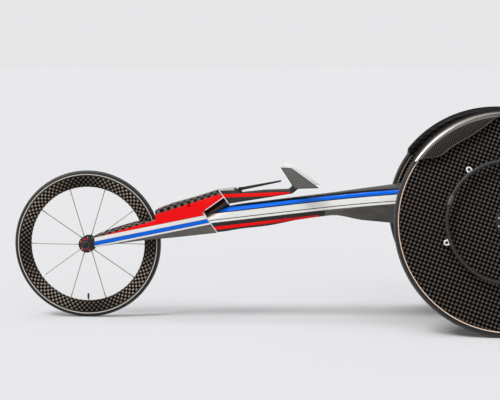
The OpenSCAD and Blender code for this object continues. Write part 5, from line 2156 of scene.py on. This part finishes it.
@dataclass
class Pad:
    """One sewn pad, swollen by a cloth simulation inside its frame solid's place."""

    node: str
    face: Vector
    across: Vector
    channels: tuple
    cap: float = 7.0
    shrink: float = 0.9
    voxel: float = 5.0
    pressure: float = 4.0
    frames: int = 20
    fill: float = 0.7
    piping_r: float = 2.0
    groove: float = 2.6
    groove_w: float = 5.5
    hem: float = 9.0
    even_out: int = 3

    def build(self) -> None:
        """Builds, swells, quilts and dresses the pad."""
        source = frame["nodes"][self.node]
        pad = tidy_mesh(linked(f"{self.node}_cover", source.data.copy()))
        low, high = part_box(self.node)
        self.middle = (low + high) / 2
        for vertex in pad.data.vertices:
            vertex.co = self.middle + (vertex.co - self.middle) * self.shrink
        modify(pad, "REMESH", mode="VOXEL", voxel_size=self.voxel * MM)
        self.swell(pad)
        self.settle(pad, low, high)
        modify(pad, "SUBSURF", levels=1, render_levels=1)
        self.quilt(pad)
        pad.data.shade_smooth()
        dress(pad, CLOTH)
        place(pad, Body.CHASSIS, "pad_fabric", self.node)
        self.seams(pad)

    def swell(self, pad: Piece) -> None:
        """Runs the cloth simulation and keeps its capped result.

        Args:
            pad: The remeshed pad.
        """
        scene = bpy.context.scene
        start = [vertex.co.copy() for vertex in pad.data.vertices]
        cloth = pad.modifiers.new("cloth", "CLOTH")
        cloth.settings.use_pressure = True
        cloth.settings.uniform_pressure_force = self.pressure
        cloth.settings.effector_weights.gravity = 0.0
        cloth.point_cache.frame_end = self.frames
        for step in range(1, self.frames + 1):
            scene.frame_set(step)
        graph = bpy.context.evaluated_depsgraph_get()
        moved = [vertex.co.copy() for vertex in pad.evaluated_get(graph).data.vertices]
        pad.modifiers.clear()
        scene.frame_set(1)
        for vertex, old, new in zip(pad.data.vertices, start, moved):
            step = new - old
            reach = min(step.length, self.cap * MM)
            vertex.co = old + step.normalized() * reach if reach else old

    def settle(self, pad: Piece, low: Vector, high: Vector) -> None:
        """Lets the pad fill the place of its solid, with room for the piping, flat where it rests.

        Args:
            pad: The pad.
            low: Lowest corner of its place.
            high: Highest corner of its place.
        """
        room = 2 * self.piping_r * MM
        grow = []
        for axis in range(3):
            values = [vertex.co[axis] for vertex in pad.data.vertices]
            grow.append(max(1.0, (high[axis] - low[axis] - room) / (max(values) - min(values))))
        for vertex in pad.data.vertices:
            wide = self.middle + Vector(g * c for g, c in zip(grow, vertex.co - self.middle))
            vertex.co = Vector(min(max(c, a), b) for c, a, b in zip(wide, low, high))

    def quilt(self, pad: Piece) -> None:
        """Draws the face in along the channels that are sewn through it.

        Args:
            pad: The pad.
        """
        for vertex in pad.data.vertices:
            arm = (vertex.co - self.middle) / MM
            if arm.dot(self.face) <= 0:
                continue
            for channel in self.channels:
                off = (arm.dot(self.across) - channel) / self.groove_w
                vertex.co -= self.face * (self.groove * math.exp(-off * off) * MM)

    def section(self, pad: Piece, normal: Vector, offset: float) -> list[Vector]:
        """Points where a plane through the pad meets its cover, in order round its middle.

        Args:
            pad: The pad.
            normal: The plane's direction.
            offset: The plane's distance from the pad's middle, in millimetres.

        Returns:
            The points, in metres.
        """
        work = bmesh.new()
        work.from_mesh(pad.data)
        spot = self.middle + normal * offset * MM
        found = bmesh.ops.bisect_plane(work, geom=work.verts[:] + work.edges[:] + work.faces[:],
                                       plane_co=spot, plane_no=normal)["geom_cut"]
        points = [item.co.copy() for item in found if isinstance(item, bmesh.types.BMVert)]
        work.free()
        side = normal.orthogonal().normalized()
        other = normal.cross(side)
        return sorted(points, key=lambda p: math.atan2((p - spot).dot(other), (p - spot).dot(side)))

    def seams(self, pad: Piece) -> None:
        """Adds the piping round the pad and the stitches along its channels and hem.

        Args:
            pad: The finished cover.
        """
        loop = self.section(pad, self.face, 0.0)
        count = len(loop)
        near = range(-self.even_out, self.even_out + 1)
        path = [sum((loop[(k + j) % count] for j in near), Vector()) / len(near) / MM
                for k in range(count)]
        cord = Shape().cord(path, self.piping_r, self.face, 10)
        piping = dress(cord.piece(f"{self.node}_piping", sharp=60), DARK_RUBBER)
        hem = self.section(pad, self.face, self.hem)
        lines = [hem + hem[:1]]
        for channel in self.channels:
            cut_points = self.section(pad, self.across, channel)
            top = [p for p in cut_points if (p - self.middle).dot(self.face) > self.hem * MM]
            run = self.face.cross(self.across)
            lines.append(sorted(top, key=lambda p: p.dot(run)))
        thread = STITCH.piece(f"{self.node}_thread", lines, THREAD)
        place(joined(f"{self.node}_seams", [piping, thread]), Body.CHASSIS, "pad_fabric")


FLOOR_SPAN = 600.0
FLOOR_SEEN = ((0.687, 0.687, 0.7), (0.677, 0.677, 0.69))
FLOOR_BOUNCE = (0.5, 0.5, 0.509)
CAMERA_SENSOR = 36.0
CAMERA_LENS = 116.39
CAMERA_PLACE = (0.1114, -5.0, 0.7828)
CAMERA_TILT = 4.716
CAMERA_TURN = 3.374
SKY_STOPS = ((0.0, 0.8), (0.05, 0.8), (0.12, 0.2), (0.55, 0.18), (0.85, 0.3), (1.0, 0.34))
SKY_BLUE = 1.018


@dataclass(frozen=True)
class Lamp:
    """A wide, even lamp with its turn in degrees."""

    name: str
    strength: float
    angle: float
    turn: tuple

    def add(self) -> None:
        """Hangs the lamp in the scene."""
        light = bpy.data.lights.new(self.name, "SUN")
        light.energy = self.strength
        light.angle = math.radians(self.angle)
        linked(self.name, light).rotation_euler = tuple(math.radians(a) for a in self.turn)


# One lamp overhead, one from the front left, and one from the camera's side.
LAMPS = (Lamp("overhead", 0.85, 40.0, (15.0, 0.0, -98.0)),
         Lamp("key", 2.3, 26.0, (38.0, 0.0, -50.0)),
         Lamp("fill", 0.75, 60.0, (68.0, 0.0, 12.0)))


def stage() -> None:
    """Builds the floor, the light and the camera."""
    scene = bpy.context.scene
    scene.view_settings.view_transform = "Standard"
    mesh = bpy.data.meshes.new("floor")
    mesh.from_pydata([(FLOOR_SPAN * x, FLOOR_SPAN * y, 0)
                      for x, y in ((-1, -1), (1, -1), (1, 1), (-1, 1))], [], [(0, 1, 2, 3)])
    floor = linked("floor", mesh)
    tree = ShaderTree("pale_floor")
    ray = tree.node("ShaderNodeLightPath")
    camera_ray, glossy_ray, clear_ray = [Signal(tree, ray.outputs[f"Is {kind} Ray"])
                                         for kind in ("Camera", "Glossy", "Transmission")]
    pale = tree.mix(tree.noise(2.0) * 0.02, *FLOOR_SEEN)
    dim = tree.mix((camera_ray + glossy_ray + clear_ray).clipped(), FLOOR_BOUNCE, pale)
    floor.data.materials.append(tree.surface(dim, 0.5, Specular_IOR_Level=0.0))
    sky()
    for lamp in LAMPS:
        lamp.add()
    camera = bpy.data.cameras.new("camera")
    camera.sensor_width = CAMERA_SENSOR
    camera.lens = CAMERA_LENS
    scene.camera = linked("camera", camera)
    scene.camera.location = CAMERA_PLACE
    scene.camera.rotation_euler = (math.radians(90 - CAMERA_TILT), 0.0, math.radians(CAMERA_TURN))


def sky() -> None:
    """Makes the studio dome: pale at the horizon, dim higher up, bright overhead."""
    world = bpy.data.worlds.new("studio")
    bpy.context.scene.world = world
    world.use_nodes = True
    tree = Nodes(world.node_tree)
    where = tree.node("ShaderNodeTexCoord")
    split = tree.node("ShaderNodeSeparateXYZ", {0: where.outputs["Generated"]})
    stops = [(position, (level, level, level * SKY_BLUE)) for position, level in SKY_STOPS]
    ramp = tree.node("ShaderNodeValToRGB", {0: split.outputs["Z"]}, stops)
    light = tree.node("ShaderNodeBackground", {0: ramp.outputs[0]})
    tree.node("ShaderNodeOutputWorld", {0: light.outputs[0]})


# Finishes of the nodes that show as the frame has them.
NODE_FINISHES = (
    (STEEL, ("head_bearings", "plug_bolts", "quick_axle_left", "quick_axle_right", "fender_bolts",
             "steerer", "lever_pin", "front_axle", "brake_pins", "front_bearings",
             "rear_bearings_left", "rear_bearings_right")),
    (ALLOY, ("axle_tube", "camber_plug_left", "camber_plug_right", "fender_spacers")),
    (HEAD_ALLOY, ("head_tube",)),
    (BLACK_ALLOY, ("brake_arm_left", "brake_arm_right")),
    (RED_ALLOY, ("axle_button_left", "axle_button_right")),
    (DARK_RUBBER, ("centring_sleeve", "brake_pad_left", "brake_pad_right")),
    (replace(BARE_CARBON, name="board_carbon").make(HERE), ("seat_board",)))


def main() -> None:
    """Builds the stage, then every part of the chair."""
    logging.basicConfig(level=logging.INFO, format="%(name)s: %(message)s")
    stage()
    MainBeam().build()
    CockpitTub().build(BARE_CARBON.make(HERE, Lay.WALLS))
    Fork().build()
    Handlebar().build()
    FrontWheel().build()
    for side in Side:
        RearWheel(side).build()
        twill = replace(GUARD_TWILL, name=side.of(GUARD_TWILL.name))
        Fender(side).build(twill.make(REAR_AXLE[side]))
    for pad in (Pad("seat_cushion", UPWARD, ACROSS, (-72, 0, 72)),
                Pad("back_pad", -REARWARD, ACROSS, (-45, 0, 45), cap=5.0, hem=7.0),
                Pad("knee_pad", UPWARD, ACROSS, (-58, 0, 58), cap=5.0)):
        pad.build()
    for finish, nodes in NODE_FINISHES:
        for node in nodes:
            dress(frame["nodes"][node], finish)


if __name__ == "__main__":
    main()
